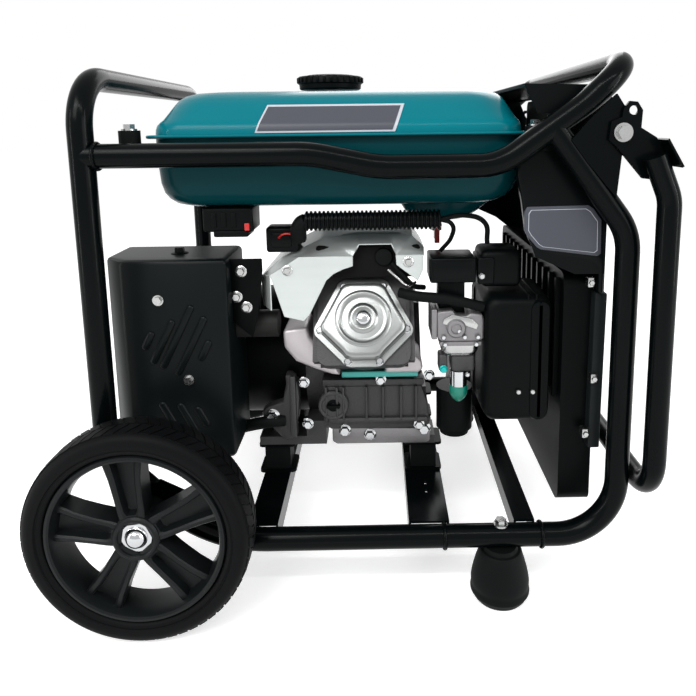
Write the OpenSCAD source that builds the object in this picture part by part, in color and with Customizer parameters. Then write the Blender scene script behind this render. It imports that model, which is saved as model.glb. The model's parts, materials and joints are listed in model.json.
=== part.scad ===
// Open-frame portable inverter generator on two wheels and two rubber feet.
// X runs along the machine from the silencer end (-X) to the control end (+X),
// Y runs from the cylinder-head side (-Y) to the back (+Y), Z is up from the ground.

/* [Frame] */
// Outer diameter of the main frame tube
tube_d = 28; // [24:1:32]
// Distance between the centre lines of the two frame sides
frame_w = 470; // [460:1:480]
// Height of the bottom rail's centre line above the ground
rail_z = 82; // [80:1:86]
// Position of the rear hoop along X
hoop_x = -304; // [-310:1:-300]
// Height of the rear hoop's top tube
hoop_top_z = 646; // [640:1:655]
// Position of the front uprights along X
upright_x = 317; // [314:1:320]

/* [Wheels and feet] */
// Diameter of the tyre
tyre_d = 262; // [256:1:264]
// Width of the tyre
tyre_w = 54; // [48:1:54]
// Axle position along X
axle_x = -251; // [-254:1:-248]
// Diameter of the stub axle
axle_d = 16; // [14:1:18]
// Position of the rubber feet along X
foot_x = 175; // [165:1:180]

/* [Fold-out handle] */
// Diameter of the handle tube
handle_d = 26; // [24:1:28]
// Distance from the frame side to the handle leg, centre to centre
handle_out = 30; // [29:1:32]
// Diameter of the pivot bolts
pivot_d = 10; // [8:1:12]

/* [Fuel tank] */
// Height of the tank's seam flange
seam_z = 578; // [576:1:582]
// Height of the upper shell above the seam
tank_top_h = 55; // [50:1:58]
// Half of the tank flange's width
tank_half_w = 213; // [206:1:214]
// Diameter of the fuel cap
cap_d = 98; // [90:1:102]

/* [Engine] */
// Height of the crankshaft's axis
crank_z = 245; // [243:1:247]
// Tilt of the cylinder above the horizontal
cylinder_tilt = 28.5; // [27:0.5:30]
// Bore of the cylinder
bore_d = 88; // [84:1:90]

/* [Hidden] */
$fn = 64;

tube_r = tube_d / 2;
side_y = frame_w / 2;
fit = 0.3;            // gap between pieces that only lie near each other
run = 0.05;           // radial running clearance of a shaft in its bore
lap = 0.5;            // how far a tube's straight runs over the start of a bend
seat = 0.02;          // how much slimmer a bend is than the straight around its ends
axle_z = tyre_d / 2;
wheel_in = side_y + tube_r + 6;      // inner face of the wheel
wheel_out = wheel_in + tyre_w;
handle_y = side_y + handle_out;
pivot = [298, 0, 578];
handle_top = [330, 552];
handle_bend = [349, 505];
grip_z = 148;
crank_y = 10;
head_x = 7;

// The machine is drawn from the middle of its engine; this is how far it moves to be centred
centre_x = (tyre_d / 2 - axle_x - handle_bend[0] - handle_d / 2) / 2;

// Colours
black = [0.05, 0.06, 0.06];
steel = [0.75, 0.76, 0.78];
alloy = [0.55, 0.55, 0.55];
rubber = [0.09, 0.09, 0.09];
teal = [0.02, 0.42, 0.45];

// ---------- shared shapes ----------

// Puts a piece in the frame whose origin is on the ground under the machine's middle
module centred() {
    translate([centre_x, 0, 0])
        children();
}

function unit(v) = v / norm(v);

// Rod from a to b
module rod(a, b, r) {
    d = b - a;
    translate(a)
        rotate([0, acos(d[2] / norm(d)), atan2(d[1], d[0])])
            cylinder(r = r, h = norm(d));
}

// Round elbow that turns from direction u to direction v around a corner point
module elbow(corner, u, v, bend, r) {
    turn = acos(u * v);
    n = unit(v - u * (u * v));
    c = corner - u * bend * tan(turn / 2) + n * bend;
    z = cross(-n, u);
    multmatrix([[-n[0], u[0], z[0], c[0]],
                [-n[1], u[1], z[1], c[1]],
                [-n[2], u[2], z[2], c[2]],
                [0, 0, 0, 1]])
        rotate_extrude(angle = turn)
            translate([bend, 0])
                circle(r = r);
}

// Tube that follows points, with a bend radius at each inner point
module bent_tube(points, bends, r) {
    last = len(points) - 1;
    dirs = [for (i = [0:last - 1]) unit(points[i + 1] - points[i])];
    cut = [for (i = [0:last])
        i == 0 || i == last ? 0
        : bends[i - 1] * tan(acos(dirs[i - 1] * dirs[i]) / 2)];
    for (i = [0:last - 1])
        rod(points[i] + dirs[i] * (cut[i] - (i == 0 ? 0 : lap)),
            points[i + 1] - dirs[i] * (cut[i + 1] - (i == last - 1 ? 0 : lap)), r);
    for (i = [1:last - 1])
        elbow(points[i], dirs[i - 1], dirs[i], bends[i - 1], r - seat);
}

// The same shape on both sides of the machine
module both_sides() {
    children();
    mirror([0, 1, 0]) children();
}

// Plate cut from an outline in the XZ plane, standing from y0 to y1
module side_plate(outline, y0, y1) {
    translate([0, y1, 0])
        rotate([90, 0, 0])
            linear_extrude(y1 - y0)
                polygon(outline);
}

// Box given by its low and high corners
module block(low, high) {
    translate(low) cube(high - low);
}

// Rectangle with round corners, given by its low and high corners
module round_rect(low, high, r) {
    hull()
        for (x = [low[0] + r, high[0] - r], y = [low[1] + r, high[1] - r])
            translate([x, y]) circle(r = r, $fn = 32);
}

// Exact box whose vertical edges are rounded
module upright_box(low, high, r) {
    translate([0, 0, low[2]])
        linear_extrude(high[2] - low[2])
            exact_round_rect([low[0], low[1]], [high[0], high[1]], r);
}

// Exact rounded rectangle made from two rectangles and four discs
module exact_round_rect(low, high, r) {
    size = high - low;
    translate([low[0] + r, low[1]]) square([size[0] - 2 * r, size[1]]);
    translate([low[0], low[1] + r]) square([size[0], size[1] - 2 * r]);
    for (x = [low[0] + r, high[0] - r], y = [low[1] + r, high[1] - r])
        translate([x, y]) circle(r = r);
}

// Exact box rounded as seen from the side, standing from y0 to y1
module side_box(low, high, r) {
    translate([0, high[1], 0])
        rotate([90, 0, 0])
            linear_extrude(high[1] - low[1])
                exact_round_rect([low[0], low[2]], [high[0], high[2]], r);
}

// Exact box rounded as seen from the end, standing from x0 to x1
module end_box(low, high, r) {
    translate([low[0], 0, 0])
        rotate([90, 0, 90])
            linear_extrude(high[0] - low[0])
                exact_round_rect([low[1], low[2]], [high[1], high[2]], r);
}

// Places its children with Z along the cylinder axis, s from the crankshaft's axis
module on_cylinder(s) {
    translate([head_x, crank_y, crank_z])
        rotate([90 - cylinder_tilt, 0, 0])
            translate([0, 0, s])
                children();
}

// Hexagon head with a round flange; the shank points along -Z from the flange
module flange_bolt(across, shank_d, shank_l) {
    cylinder(d = across * 1.5, h = 2);
    translate([0, 0, 2]) cylinder(d = across * 1.15, h = across * 0.45, $fn = 6);
    translate([0, 0, -shank_l]) cylinder(d = shank_d, h = shank_l);
}

// ---------- frame ----------

front_x = 225;        // where the rear hoop's rail meets the front loop
dip_in = [-48, 558];  // the top rail drops between these two points
dip_out = [30, 542];
ramp_in = [166, 542];
ramp_mid = [262, 610];
ramp_out = [312, 657];

// The rear hoop: one tube from the near rail over the top to the far rail
module rear_hoop() {
    color(black) centred() difference() {
        bent_tube([
            [front_x, -side_y, rail_z], [-185, -side_y, rail_z],
            [hoop_x, -side_y, rail_z + 119], [hoop_x, -side_y, hoop_top_z],
            [hoop_x, side_y, hoop_top_z], [hoop_x, side_y, rail_z + 119],
            [-185, side_y, rail_z], [front_x, side_y, rail_z]],
            [170, 90, 60, 60, 90, 170], tube_r);
        both_sides()
            translate([foot_x, -side_y, rail_z - tube_d])
                cylinder(d = 8.6, h = 2 * tube_d);
    }
}

// Point of the top rail's route on one side
function rail_point(p, side) = [p[0], side * side_y, p[1]];

// The top rail: down one side, across the front as the lifting grip, and back
module top_rail() {
    route = [dip_in, dip_out, ramp_in, ramp_mid, ramp_out];
    far = [for (i = [len(route) - 1:-1:0]) route[i]];
    color(black) centred() difference() {
        bent_tube(concat(
            [[hoop_x, -side_y, dip_in[1]]],
            [for (p = route) rail_point(p, -1)],
            [for (p = far) rail_point(p, 1)],
            [[hoop_x, side_y, dip_in[1]]]),
            [160, 160, 80, 120, 45, 45, 120, 80, 160, 160], tube_r);
        both_sides()
            translate([hoop_x, -side_y, 500]) cylinder(r = tube_r, h = 120);
    }
}

// The two front loops: bottom rail end, upright and the strut up to the top rail
module front_loops() {
    knee = [upright_x, -side_y, 463];
    weld = [226, -side_y, 584.5];
    color(black) centred() both_sides() difference() {
        bent_tube([[front_x, -side_y, rail_z], [upright_x, -side_y, rail_z], knee, weld],
            [72, 70], tube_r);
        rod(rail_point(ramp_in, -1), rail_point(ramp_mid, -1), tube_r + 0.02);
    }
}

// One side of the rear hoop's lower route, for cutting what is welded to it
module hoop_side(r) {
    bent_tube([[front_x + 60, -side_y, rail_z], [-185, -side_y, rail_z],
        [hoop_x, -side_y, rail_z + 119]], [170], r);
}

// Channel section across the bottom of the frame
module channel(x0, x1, height) {
    wall = 3;
    end_y = side_y - 8;
    top = rail_z + tube_r + 1;
    difference() {
        block([x0, -end_y, top - height], [x1, end_y, top]);
        block([x0 + wall, -end_y - 1, top - height - 1], [x1 - wall, end_y + 1, top - wall]);
        both_sides() hoop_side(tube_r + 0.04);
    }
}

module cross_members() {
    color(black) centred() {
        difference() {
            channel(-140, -103, 28);
            for (y = [-85, 85]) translate([-121, y, 80]) cylinder(d = 9, h = 40);
        }
        difference() {
            channel(61, 112, 28);
            for (y = [-85, 85]) translate([88, y, 80]) cylinder(d = 9, h = 40);
            for (y = [-160, -140]) translate([88, y, 80]) cylinder(d = 6, h = 40);
        }
        channel(193, 219, 22);
    }
}

tank_bolt_x = [-264, 216];
tank_bolt_y = 196;

// Four tabs that carry the tank, welded to the inside of the top rail
module tank_tabs() {
    tab_z = seam_z - 9;
    color(black) centred() both_sides() {
        difference() {
            block([-282, -side_y, tab_z - 3], [-246, -tank_bolt_y + 16, tab_z]);
            rod([-300, -side_y, dip_in[1]], [-200, -side_y, dip_in[1]], tube_r);
            translate([tank_bolt_x[0], -tank_bolt_y, tab_z - 10]) cylinder(d = 8.6, h = 20);
        }
        difference() {
            block([202, -side_y + 6, tab_z - 3], [232, -tank_bolt_y + 16, tab_z]);
            rod(rail_point(ramp_in, -1), rail_point(ramp_mid, -1), tube_r + 0.04);
            rod([upright_x, -side_y, 463], [226, -side_y, 584.5], tube_r + 0.04);
            translate([tank_bolt_x[1], -tank_bolt_y, tab_z - 10]) cylinder(d = 8.6, h = 20);
        }
    }
}

// Plates on the frame that carry the handle's pivot bolts
module pivot_brackets() {
    plate_out = side_y + 14;
    plate_in = side_y + 9;
    color(black) centred() both_sides() difference() {
        side_plate([[262, 592], [292, 620], [304, 602], [313, 588], [313, 566], [300, 552],
            [296, 505], [262, 545], [243, 570]], -plate_out, -plate_in);
        rod(rail_point(ramp_in, -1), rail_point(ramp_mid, -1), tube_r);
        rod(rail_point(ramp_mid, -1), rail_point(ramp_out, -1), tube_r);
        rod([upright_x, -side_y, 463], [226, -side_y, 584.5], tube_r);
        elbow(rail_point(ramp_mid, -1), unit(rail_point(ramp_mid - ramp_in, 0)),
            unit(rail_point(ramp_out - ramp_mid, 0)), 120, tube_r);
        translate([pivot[0], -side_y, pivot[2]])
            rotate([90, 0, 0]) cylinder(d = pivot_d + 2 * run, h = 40);
    }
}

// Plates welded to the outside of the rear bends, with the stub axles
module axle_brackets() {
    face = side_y + tube_r;
    color(black) centred() both_sides() {
        difference() {
            side_plate([[-283, 128], [-266, 100], [-236, 104], [-196, 118], [-196, 150],
                [-238, 172], [-268, 160]], -face - 4, -face + 3);
            hoop_side(tube_r + 0.04);
        }
        translate([axle_x, -face - 4, axle_z])
            rotate([90, 0, 0]) cylinder(d = axle_d, h = tyre_w - 2);
    }
}

// ---------- wheels and feet ----------

wheel_mid = (wheel_in + wheel_out) / 2;

// Tyre section turned about Y
module tyre(side) {
    half = tyre_w / 2;
    outer = tyre_d / 2;
    bead = outer - 28;
    color(rubber) centred()
        translate([axle_x, side * wheel_mid, axle_z])
            rotate([90, 0, 0])
                rotate_extrude()
                    polygon([[bead, -half + 6], [bead + 6, -half + 1], [outer - 16, -half],
                        [outer - 6, -half + 4], [outer - 1.5, -half + 11], [outer, -half + 20],
                        [outer, half - 20], [outer - 1.5, half - 11], [outer - 6, half - 4],
                        [outer - 16, half], [bead + 6, half - 1], [bead, half - 6]]);
}

// Wheel body: barrel, five grooved spokes and a bored hub
module rim(side) {
    half = tyre_w / 2;
    bead = tyre_d / 2 - 28;
    color([0.13, 0.13, 0.14]) centred()
        translate([axle_x, side * wheel_mid, axle_z])
            rotate([-side * 90, 0, 0])
                difference() {
                    union() {
                        rotate_extrude()
                            polygon([[bead - 9, -half + 4], [bead - fit, -half + 4],
                                [bead - fit, half - 2], [bead - 9, half - 2]]);
                        translate([0, 0, -half + 1]) cylinder(r = 28, h = tyre_w - 6);
                        for (k = [0:4]) rotate(k * 72 + 97) spoke(bead - 5);
                    }
                    translate([0, 0, -half - 1]) cylinder(d = axle_d + 2 * run, h = 2 * tyre_w);
                    translate([0, 0, half - 14]) cylinder(d = 39, h = 20);
                }
}

// One spoke along +X, with a groove down the middle of its outer face
module spoke(reach) {
    difference() {
        translate([0, 0, -9])
            linear_extrude(26)
                polygon([[8, -14], [44, -16], [reach, -24], [reach, 24], [44, 16], [8, 14]]);
        translate([36, -7, 11]) cube([reach - 46, 14, 20]);
    }
}

module tyre_near() { tyre(-1); }
module tyre_far() { tyre(1); }
module rim_near() { rim(-1); }
module rim_far() { rim(1); }

// Chrome washers and cap nuts that keep the wheels on
module hub_caps() {
    nut_y = side_y + tube_r + 4 + tyre_w - 2;
    color(steel) centred() both_sides()
        translate([axle_x, -nut_y, axle_z])
            rotate([90, 0, 0]) {
                translate([0, 0, -10 + fit]) difference() {
                    cylinder(d = 37, h = 3);
                    translate([0, 0, -1]) cylinder(d = axle_d, h = 5);
                }
                difference() {
                    translate([0, 0, -7 + fit]) cylinder(d = 24, h = 9.7);
                    translate([0, 0, -8]) cylinder(d = axle_d, h = 8);
                }
            }
}

// Tapered rubber feet under the front of the frame
module rubber_feet() {
    top = rail_z - tube_r + 1;
    color(rubber) centred() both_sides() difference() {
        translate([foot_x, -side_y, 0])
            rotate_extrude()
                polygon([[0, 0], [27, 0], [33, 3], [36, 9], [37, 17], [36.4, 28],
                    [34, 44], [30, 58], [28, top], [0, top]]);
        rod([foot_x - 60, -side_y, rail_z], [foot_x + 60, -side_y, rail_z], tube_r);
        translate([foot_x, -side_y, 30]) cylinder(d = 8, h = 60);
    }
}

// ---------- fold-out handle ----------

// The handle tube: two legs and the grip across their lower ends
module transport_handle() {
    r = handle_d / 2;
    color(black) centred()
        bent_tube([
            [handle_top[0], -handle_y, handle_top[1]], [handle_bend[0], -handle_y, handle_bend[1]],
            [handle_bend[0], -handle_y, grip_z], [handle_bend[0], handle_y, grip_z],
            [handle_bend[0], handle_y, handle_bend[1]], [handle_top[0], handle_y, handle_top[1]]],
            [50, 48, 48, 50], r);
}

// Plates on the handle's ends, with the pivot holes and the stop hooks
module handle_plates() {
    inner = side_y + tube_r + 1;
    outer = inner + 4;
    lean = unit([handle_bend[0] - handle_top[0], 0, handle_bend[1] - handle_top[1]]);
    color(black) centred() both_sides() difference() {
        union() {
            side_plate([[283, 570], [292, 562], [322, 527], [345, 524], [355, 540], [336, 572],
                [318, 583], [313, 592], [300, 596], [285, 590]], -outer, -inner);
            side_plate([[296, 590], [298, 604], [304, 612], [313, 611], [319, 602], [318, 580]],
                -outer, -inner);
            side_plate([[337, 570], [355, 540], [357, 541.5], [339, 571.5]], -outer - 24, -inner);
        }
        translate([309, -inner + 1, 602])
            rotate([90, 0, 0]) cylinder(d = 10, h = 8);
        translate([pivot[0], -side_y, pivot[2]])
            rotate([90, 0, 0]) cylinder(d = pivot_d + 2 * run, h = 40);
        rod([handle_top[0], -handle_y, handle_top[1]] - lean * 0.02,
            [handle_bend[0], -handle_y, handle_bend[1]] + lean * 10, handle_d / 2 + 0.02);
    }
}

// ---------- fasteners of the fixed parts ----------

guard_bolts = [[-246, 378], [-214, 274]];
module flange_bolts() {
    guard_y = -190;
    tab_z = seam_z - 9;
    color(steel) centred() {
        // nuts and studs of the rubber feet
        both_sides()
            translate([foot_x, -side_y, rail_z + tube_r])
                flange_bolt(12, 8, 58);
        // pivot bolts of the handle, with a wide washer under each head
        both_sides()
            translate([pivot[0], -side_y - tube_r - 5.3, pivot[2]])
                rotate([90, 0, 0]) {
                    flange_bolt(14, pivot_d, 14);
                    translate([0, 0, -14]) cylinder(d = 19, h = 3.6);
                }
        // bolts through the tank's bushes
        both_sides()
            for (x = tank_bolt_x)
                translate([x, -tank_bolt_y, seam_z + 8]) flange_bolt(12, 8, 24);
        // bolts of the silencer guard
        for (p = guard_bolts)
            translate([p[0], guard_y, p[1]])
                rotate([90, 0, 0]) flange_bolt(9, 6, 13);
        // bolts that hold the engine's feet to the rubber mounts
        for (x = [-121, 88], y = [-85, 85])
            translate([x, y, 152]) flange_bolt(12, 8, 9);
    }
}

// ---------- fuel tank ----------

tank_x = [-248, 211];
tank_wall = 2;

// Stack of rounded outlines joined into one smooth shell; each row is
// [z, low x, high x, half width, corner radius]
module tank_loft(rows, grow) {
    for (i = [0:len(rows) - 2])
        hull()
            for (row = [rows[i], rows[i + 1]])
                translate([0, 0, row[0]])
                    linear_extrude(0.02)
                        round_rect([row[1] - grow, -row[3] - grow], [row[2] + grow, row[3] + grow],
                            row[4]);
}

// Upper tank shell with its half of the seam flange and the filler neck
module tank_upper() {
    rows = [[seam_z, -240, 204, 205, 34], [seam_z + 18, -232, 198, 201, 34],
        [seam_z + 46, -220, 186, 172, 34], [seam_z + tank_top_h, -206, 172, 140, 34]];
    color(teal) centred() difference() {
        union() {
            tank_loft(rows, 0);
            upright_box([tank_x[0], -tank_half_w, seam_z], [tank_x[1], tank_half_w, seam_z + 2], 30);
            translate([-40, 0, seam_z + tank_top_h - 2]) cylinder(d = 84, h = 9);
        }
        tank_loft([for (r = rows) r - [2, 0, 0, 0, 0]], -tank_wall);
        translate([-40, 0, seam_z]) cylinder(d = 62, h = 100);
        tank_ear_cuts();
    }
}

// Clears the flange's corners around the mounting bushes
module tank_ear_cuts() {
    both_sides()
        for (x = tank_bolt_x)
            translate([x, -tank_bolt_y, seam_z - 20]) cylinder(d = 27, h = 40);
}

// Lower tank shell with its half of the flange and the deeper sump
module tank_lower() {
    rows = [[seam_z - 86, -222, 176, 180, 34], [seam_z - 70, -236, 196, 198, 34],
        [seam_z, -240, 204, 205, 34]];
    sump = [[seam_z - 112, 76, 146, 150, 30], [seam_z - 84, 62, 170, 170, 30]];
    color(teal) centred() difference() {
        union() {
            tank_loft(rows, 0);
            tank_loft(sump, 0);
            upright_box([tank_x[0], -tank_half_w, seam_z - 2], [tank_x[1], tank_half_w, seam_z], 30);
        }
        tank_loft([rows[0] + [tank_wall, 0, 0, 0, 0], rows[1], rows[2] + [1, 0, 0, 0, 0]], -tank_wall);
        tank_loft([sump[0] + [tank_wall, 0, 0, 0, 0], sump[1] + [2, 0, 0, 0, 0]], -tank_wall);
        translate([110, -60, seam_z - 130]) cylinder(d = 10, h = 40);
        translate([0, 0, seam_z]) cube([900, 900, 0.1], center = true);
        tank_ear_cuts();
    }
}

// Rubber bushes between the tank, its bolts and the tabs
module tank_bushes() {
    tab_z = seam_z - 9;
    color(rubber) centred() both_sides()
        for (x = tank_bolt_x)
            translate([x, -tank_bolt_y, tab_z]) difference() {
                cylinder(d = 25, h = 17);
                translate([0, 0, -1]) cylinder(d = 8, h = 30);
            }
}

// Screw cap with a ring of finger grips
module fuel_cap() {
    base = seam_z + tank_top_h + 7 + fit;
    color([0.04, 0.04, 0.04]) centred()
        translate([-40, 0, base]) {
            cylinder(d = cap_d - 6, h = 9);
            translate([0, 0, 9]) difference() {
                cylinder(d = cap_d, h = 10);
                for (k = [0:17]) rotate(k * 20) translate([cap_d / 2 + 2, 0, -1]) cylinder(d = 11, h = 12);
            }
            translate([0, 0, 19]) cylinder(d = cap_d - 26, h = 2);
        }
}

// Fuel tap screwed under the sump
module fuel_tap() {
    color(steel) centred() translate([110, -60, seam_z - 112]) {
        translate([0, 0, -4]) cylinder(d = 22, h = 4, $fn = 6);
        translate([0, 0, -26]) cylinder(d = 16, h = 22);
        cylinder(d = 9.9, h = 1.9);
        translate([0, 0, -38]) cylinder(d = 7, h = 12);
        translate([0, -2, -16]) rotate([90, 0, 0]) cylinder(d = 12, h = 12);
    }
}

// Lever on the front of the fuel tap
module fuel_tap_lever() {
    color([0.7, 0.1, 0.08]) centred() translate([110, -74 - fit, seam_z - 128]) rotate([90, 0, 0]) {
        cylinder(d = 13, h = 5);
        translate([-3.5, -26, 0]) cube([7, 26, 4]);
    }
}

// ---------- engine ----------

mount_spots = [[-121, 85], [-121, -85], [88, 85], [88, -85]];
mount_base = rail_z + tube_r + 1;
mount_top = 140;

// Rubber blocks under the engine's feet
module engine_mounts() {
    color(rubber) centred()
        for (p = mount_spots)
            translate([p[0] - 18, p[1] - 18, mount_base + 4]) cube([36, 36, mount_top - mount_base - 8]);
}

// Steel plates bonded to the rubber blocks
module mount_plates() {
    color([0.1, 0.1, 0.1]) centred()
        for (p = mount_spots, z = [mount_base, mount_top - 4])
            upright_box([p[0] - 26, p[1] - 22, z], [p[0] + 26, p[1] + 22, z + 4], 6);
}

// Crankcase with its feet, ribs, bell housing and crankshaft bores
module crankcase() {
    outline = [[-112, 170], [-106, 164], [104, 164], [112, 172], [112, 290], [84, 322],
        [-20, 330], [-45, 329], [-97, 238], [-112, 238]];
    color(alloy) centred() difference() {
        union() {
            translate([-52, 0, 0]) rotate([90, 0, 90]) linear_extrude(138) polygon(outline);
            block([-30, -108, 152], [72, 108, 166]);
            for (y = [-85, 85]) block([60, y - 24, mount_top], [104, y + 24, 152]);
            for (x = [-22, 0, 24, 62]) block([x, -116, 170], [x + 4, -110, 228]);
            block([-52, -116, 228], [86, -110, 238]);
            translate([-38, -111, 205]) rotate([90, 0, 0]) cylinder(d = 24, h = 5);
            translate([-78, crank_y, crank_z]) rotate([0, 90, 0]) cylinder(r = 104, h = 27);
            for (y = [-85, 85]) {
                block([-145, y - 22, mount_top], [-78, y + 22, 152]);
                block([-78, y - 22, mount_top], [-50, y + 22, 175]);
            }
        }
        translate([-90, crank_y, crank_z]) rotate([0, 90, 0]) cylinder(r = 92, h = 20);
        translate([-40, crank_y, crank_z]) rotate([0, 90, 0]) cylinder(r = 62, h = 114);
        translate([-90, crank_y, crank_z]) rotate([0, 90, 0]) cylinder(d = 30 + 2 * run, h = 200);
        on_cylinder(30) cylinder(d = bore_d, h = 60);
        on_cylinder(88) translate([-60, -58, 0]) cube([120, 140, 80]);
        translate([-38, -90, 205]) rotate([90, 0, 0]) cylinder(d = 14, h = 40);
        for (x = [-121, 88], y = [-85, 85]) translate([x, y, 130]) cylinder(d = 8.6, h = 30);
        block([-50, -60, mount_top - 1], [56, 60, 151]);
    }
}

// Finned cylinder with its bore
module cylinder_barrel() {
    color(alloy) centred() on_cylinder(88) difference() {
        union() {
            translate([0, 0, 0]) cylinder(d = 112, h = 72);
            for (k = [0:6])
                translate([-58, -54, 6 + k * 10]) cube([116, 116, 3]);
        }
        translate([0, 0, -1]) cylinder(d = bore_d, h = 80);
    }
}

// Head block on the end of the cylinder
module cylinder_head() {
    color(alloy) centred() on_cylinder(160) difference() {
        union() {
            upright_box([-60, -56, 0], [60, 62, 34], 14);
            for (k = [0:2]) translate([-66, -50, 4 + k * 10]) cube([132, 104, 3]);
        }
        translate([30, 40, 18]) rotate([-90, 0, 0]) cylinder(d = 14, h = 40);
    }
}

// Rocker cover: flange, raised body and a domed centre with its bolt
module valve_cover() {
    color(steel) centred() on_cylinder(194) {
        linear_extrude(6) rocker_outline(0);
        translate([0, 0, 6]) linear_extrude(16) rocker_outline(9);
        translate([0, 0, 22]) cylinder(d = 58, h = 3);
        translate([0, 0, 25]) cylinder(d = 28, h = 5);
    }
}

// Rounded six-sided outline, drawn in by a given amount
module rocker_outline(inset) {
    hull()
        for (p = [[-50, -12], [-16, -45], [16, -45], [50, -12], [22, 41], [-22, 41]])
            translate(p * (1 - inset / 60)) circle(r = 14, $fn = 32);
}

// Light cast shroud that guides the cooling air round the cylinder
module cylinder_shroud() {
    outline = [[-98, 34], [-98, -22], [-86, -48], [-62, -66], [-40, -72], [64, -72], [80, -54], [80, 30]];
    color([0.78, 0.76, 0.75]) centred() on_cylinder(120) difference() {
        linear_extrude(38) polygon(outline);
        translate([0, 0, -1]) linear_extrude(33)
            polygon([[-94, 36], [-94, -20], [-83, -45], [-60, -62.5], [-39, -68], [62, -68], [76, -52], [76, 36]]);
        block([-66 - fit, -58, -1], [66 + fit, 80, 60]);
        intake_side();
    }
}

// Space kept free round the intake port, in the cylinder's own frame at 120 mm out
module intake_side() {
    translate([60, -12, 55]) rotate([0, 90, 0]) cylinder(d = 42, h = 60);
}

// Bent sheet that keeps the exhaust's heat from the tank
module heat_shield() {
    sheet = 1.6;
    roof = [[-126, 404], [-108, 418], [-55, 446], [20, 454], [66, 456], [84, 428]];
    under = [for (i = [len(roof) - 1:-1:0]) roof[i] - [0, 2]];
    color([0.85, 0.87, 0.86]) centred() {
        side_plate([[-125, 402], [-108, 416.5], [-55, 444.5], [-16, 448], [-16, 424], [-66, 352],
            [-92, 356], [-112, 402]], -172, -172 + sheet);
        side_plate(concat(roof, under), -172, -70);
        side_plate([[-126, 404], [-126, 352], [-126 + sheet, 352], [-126 + sheet, 404]], -172, -130);
    }
}

// Spark plug in the head
module spark_plug() {
    color(steel) centred() on_cylinder(178) translate([30, 0, 0]) rotate([-90, 0, 0]) {
        translate([0, 0, 41]) cylinder(d = 13.8, h = 21);
        translate([0, 0, 62]) cylinder(d = 20, h = 8, $fn = 6);
        translate([0, 0, 69]) cylinder(d = 11, h = 15);
    }
}

// Boot over the spark plug, with the ignition lead's elbow
module plug_boot() {
    color(rubber) centred() on_cylinder(178) translate([30, 0, 0]) rotate([-90, 0, 0]) difference() {
        union() {
            translate([0, 0, 71]) cylinder(d = 22, h = 22);
            translate([0, 0, 84]) rotate([0, 90, 0]) cylinder(d = 16, h = 26);
        }
        translate([0, 0, 70]) cylinder(d = 11 + 2 * run, h = 15);
    }
}

// Oil filler plug with its dipstick
module dipstick() {
    color([0.03, 0.03, 0.03]) centred() translate([-38, -116 - fit, 205]) rotate([90, 0, 0]) {
        cylinder(d = 23, h = 8);
        translate([-2.5, -10, 8]) cube([5, 20, 5]);
        translate([0, 0, -14]) cylinder(d = 13.8, h = 14);
    }
}

// Crankshaft: shaft, two webs and the crank pin
module crankshaft() {
    color(steel) centred() translate([0, crank_y, crank_z]) rotate([0, 90, 0]) {
        translate([0, 0, -252]) cylinder(d = 24, h = 168);
        translate([0, 0, -84]) cylinder(d = 30, h = 64);
        translate([0, 0, -20]) cylinder(r = 55, h = 14);
        translate([0, 32, -6]) cylinder(d = 34, h = 26);
        translate([0, 0, 20]) cylinder(r = 55, h = 14);
        translate([0, 0, 34]) cylinder(d = 30, h = 56);
    }
}

// Electric starter on the back of the crankcase
module starter_motor() {
    color(black) centred() {
        translate([-46, 62, 356]) rotate([0, 90, 0]) cylinder(d = 64, h = 96);
        translate([50, 62, 356]) rotate([0, 90, 0]) cylinder(d = 52, h = 12);
        translate([-30, 100, 372]) rotate([0, 90, 0]) cylinder(d = 30, h = 60);
    }
}

// ---------- alternator and recoil starter ----------

// Drum bolted to the bell housing, with vents round its rim
module alternator_housing() {
    color(black) centred() difference() {
        translate([-250, crank_y, crank_z]) rotate([0, 90, 0]) cylinder(r = 97, h = 172);
        translate([-246, crank_y, crank_z]) rotate([0, 90, 0]) cylinder(r = 92, h = 200);
        translate([-260, crank_y, crank_z]) rotate([0, 90, 0]) cylinder(d = 24 + 2 * run, h = 20);
        for (k = [0:11])
            translate([-246, crank_y, crank_z]) rotate([k * 30, 0, 0])
                translate([12, 0, 80]) cube([30, 12, 60], center = true);
    }
}

// Laminated stator ring inside the drum
module stator() {
    color([0.55, 0.3, 0.12]) centred() translate([-190, crank_y, crank_z]) rotate([0, 90, 0]) difference() {
        cylinder(r = 92, h = 70);
        translate([0, 0, -1]) cylinder(r = 66, h = 72);
    }
}

// Magnet rotor on the crankshaft, with the cooling fan
module rotor() {
    color([0.35, 0.35, 0.37]) centred() translate([-190, crank_y, crank_z]) rotate([0, 90, 0]) difference() {
        union() {
            cylinder(r = 65, h = 70);
            translate([0, 0, -34]) cylinder(r = 40, h = 34);
            for (k = [0:11]) rotate(k * 30 + 11) translate([36, -2, -30]) cube([42, 4, 24]);
        }
        translate([0, 0, -40]) cylinder(d = 24, h = 120);
    }
}

// Recoil starter cover on the drum's end
module recoil_cover() {
    color(black) centred() translate([-250, crank_y, crank_z]) rotate([0, -90, 0]) difference() {
        union() {
            cylinder(r = 90, h = 14);
            translate([0, 0, 14]) cylinder(r = 68, h = 10);
            translate([-14, 58, 0]) cube([28, 40, 24]);
        }
        for (k = [0:17]) rotate(k * 20 + 10) translate([76, -3, 4]) cube([10, 6, 20]);
        translate([0, 0, -1]) cylinder(r = 60, h = 19);
    }
}

// Pull grip of the recoil starter
module recoil_grip() {
    color(rubber) centred() translate([-274 - fit, crank_y + 84, crank_z]) rotate([0, -90, 0]) {
        cylinder(d = 12, h = 8);
        translate([-40, 0, 16]) rotate([0, 90, 0]) cylinder(d = 20, h = 80);
    }
}

// ---------- air and fuel ----------

carb = [131, -150, 318];

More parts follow.
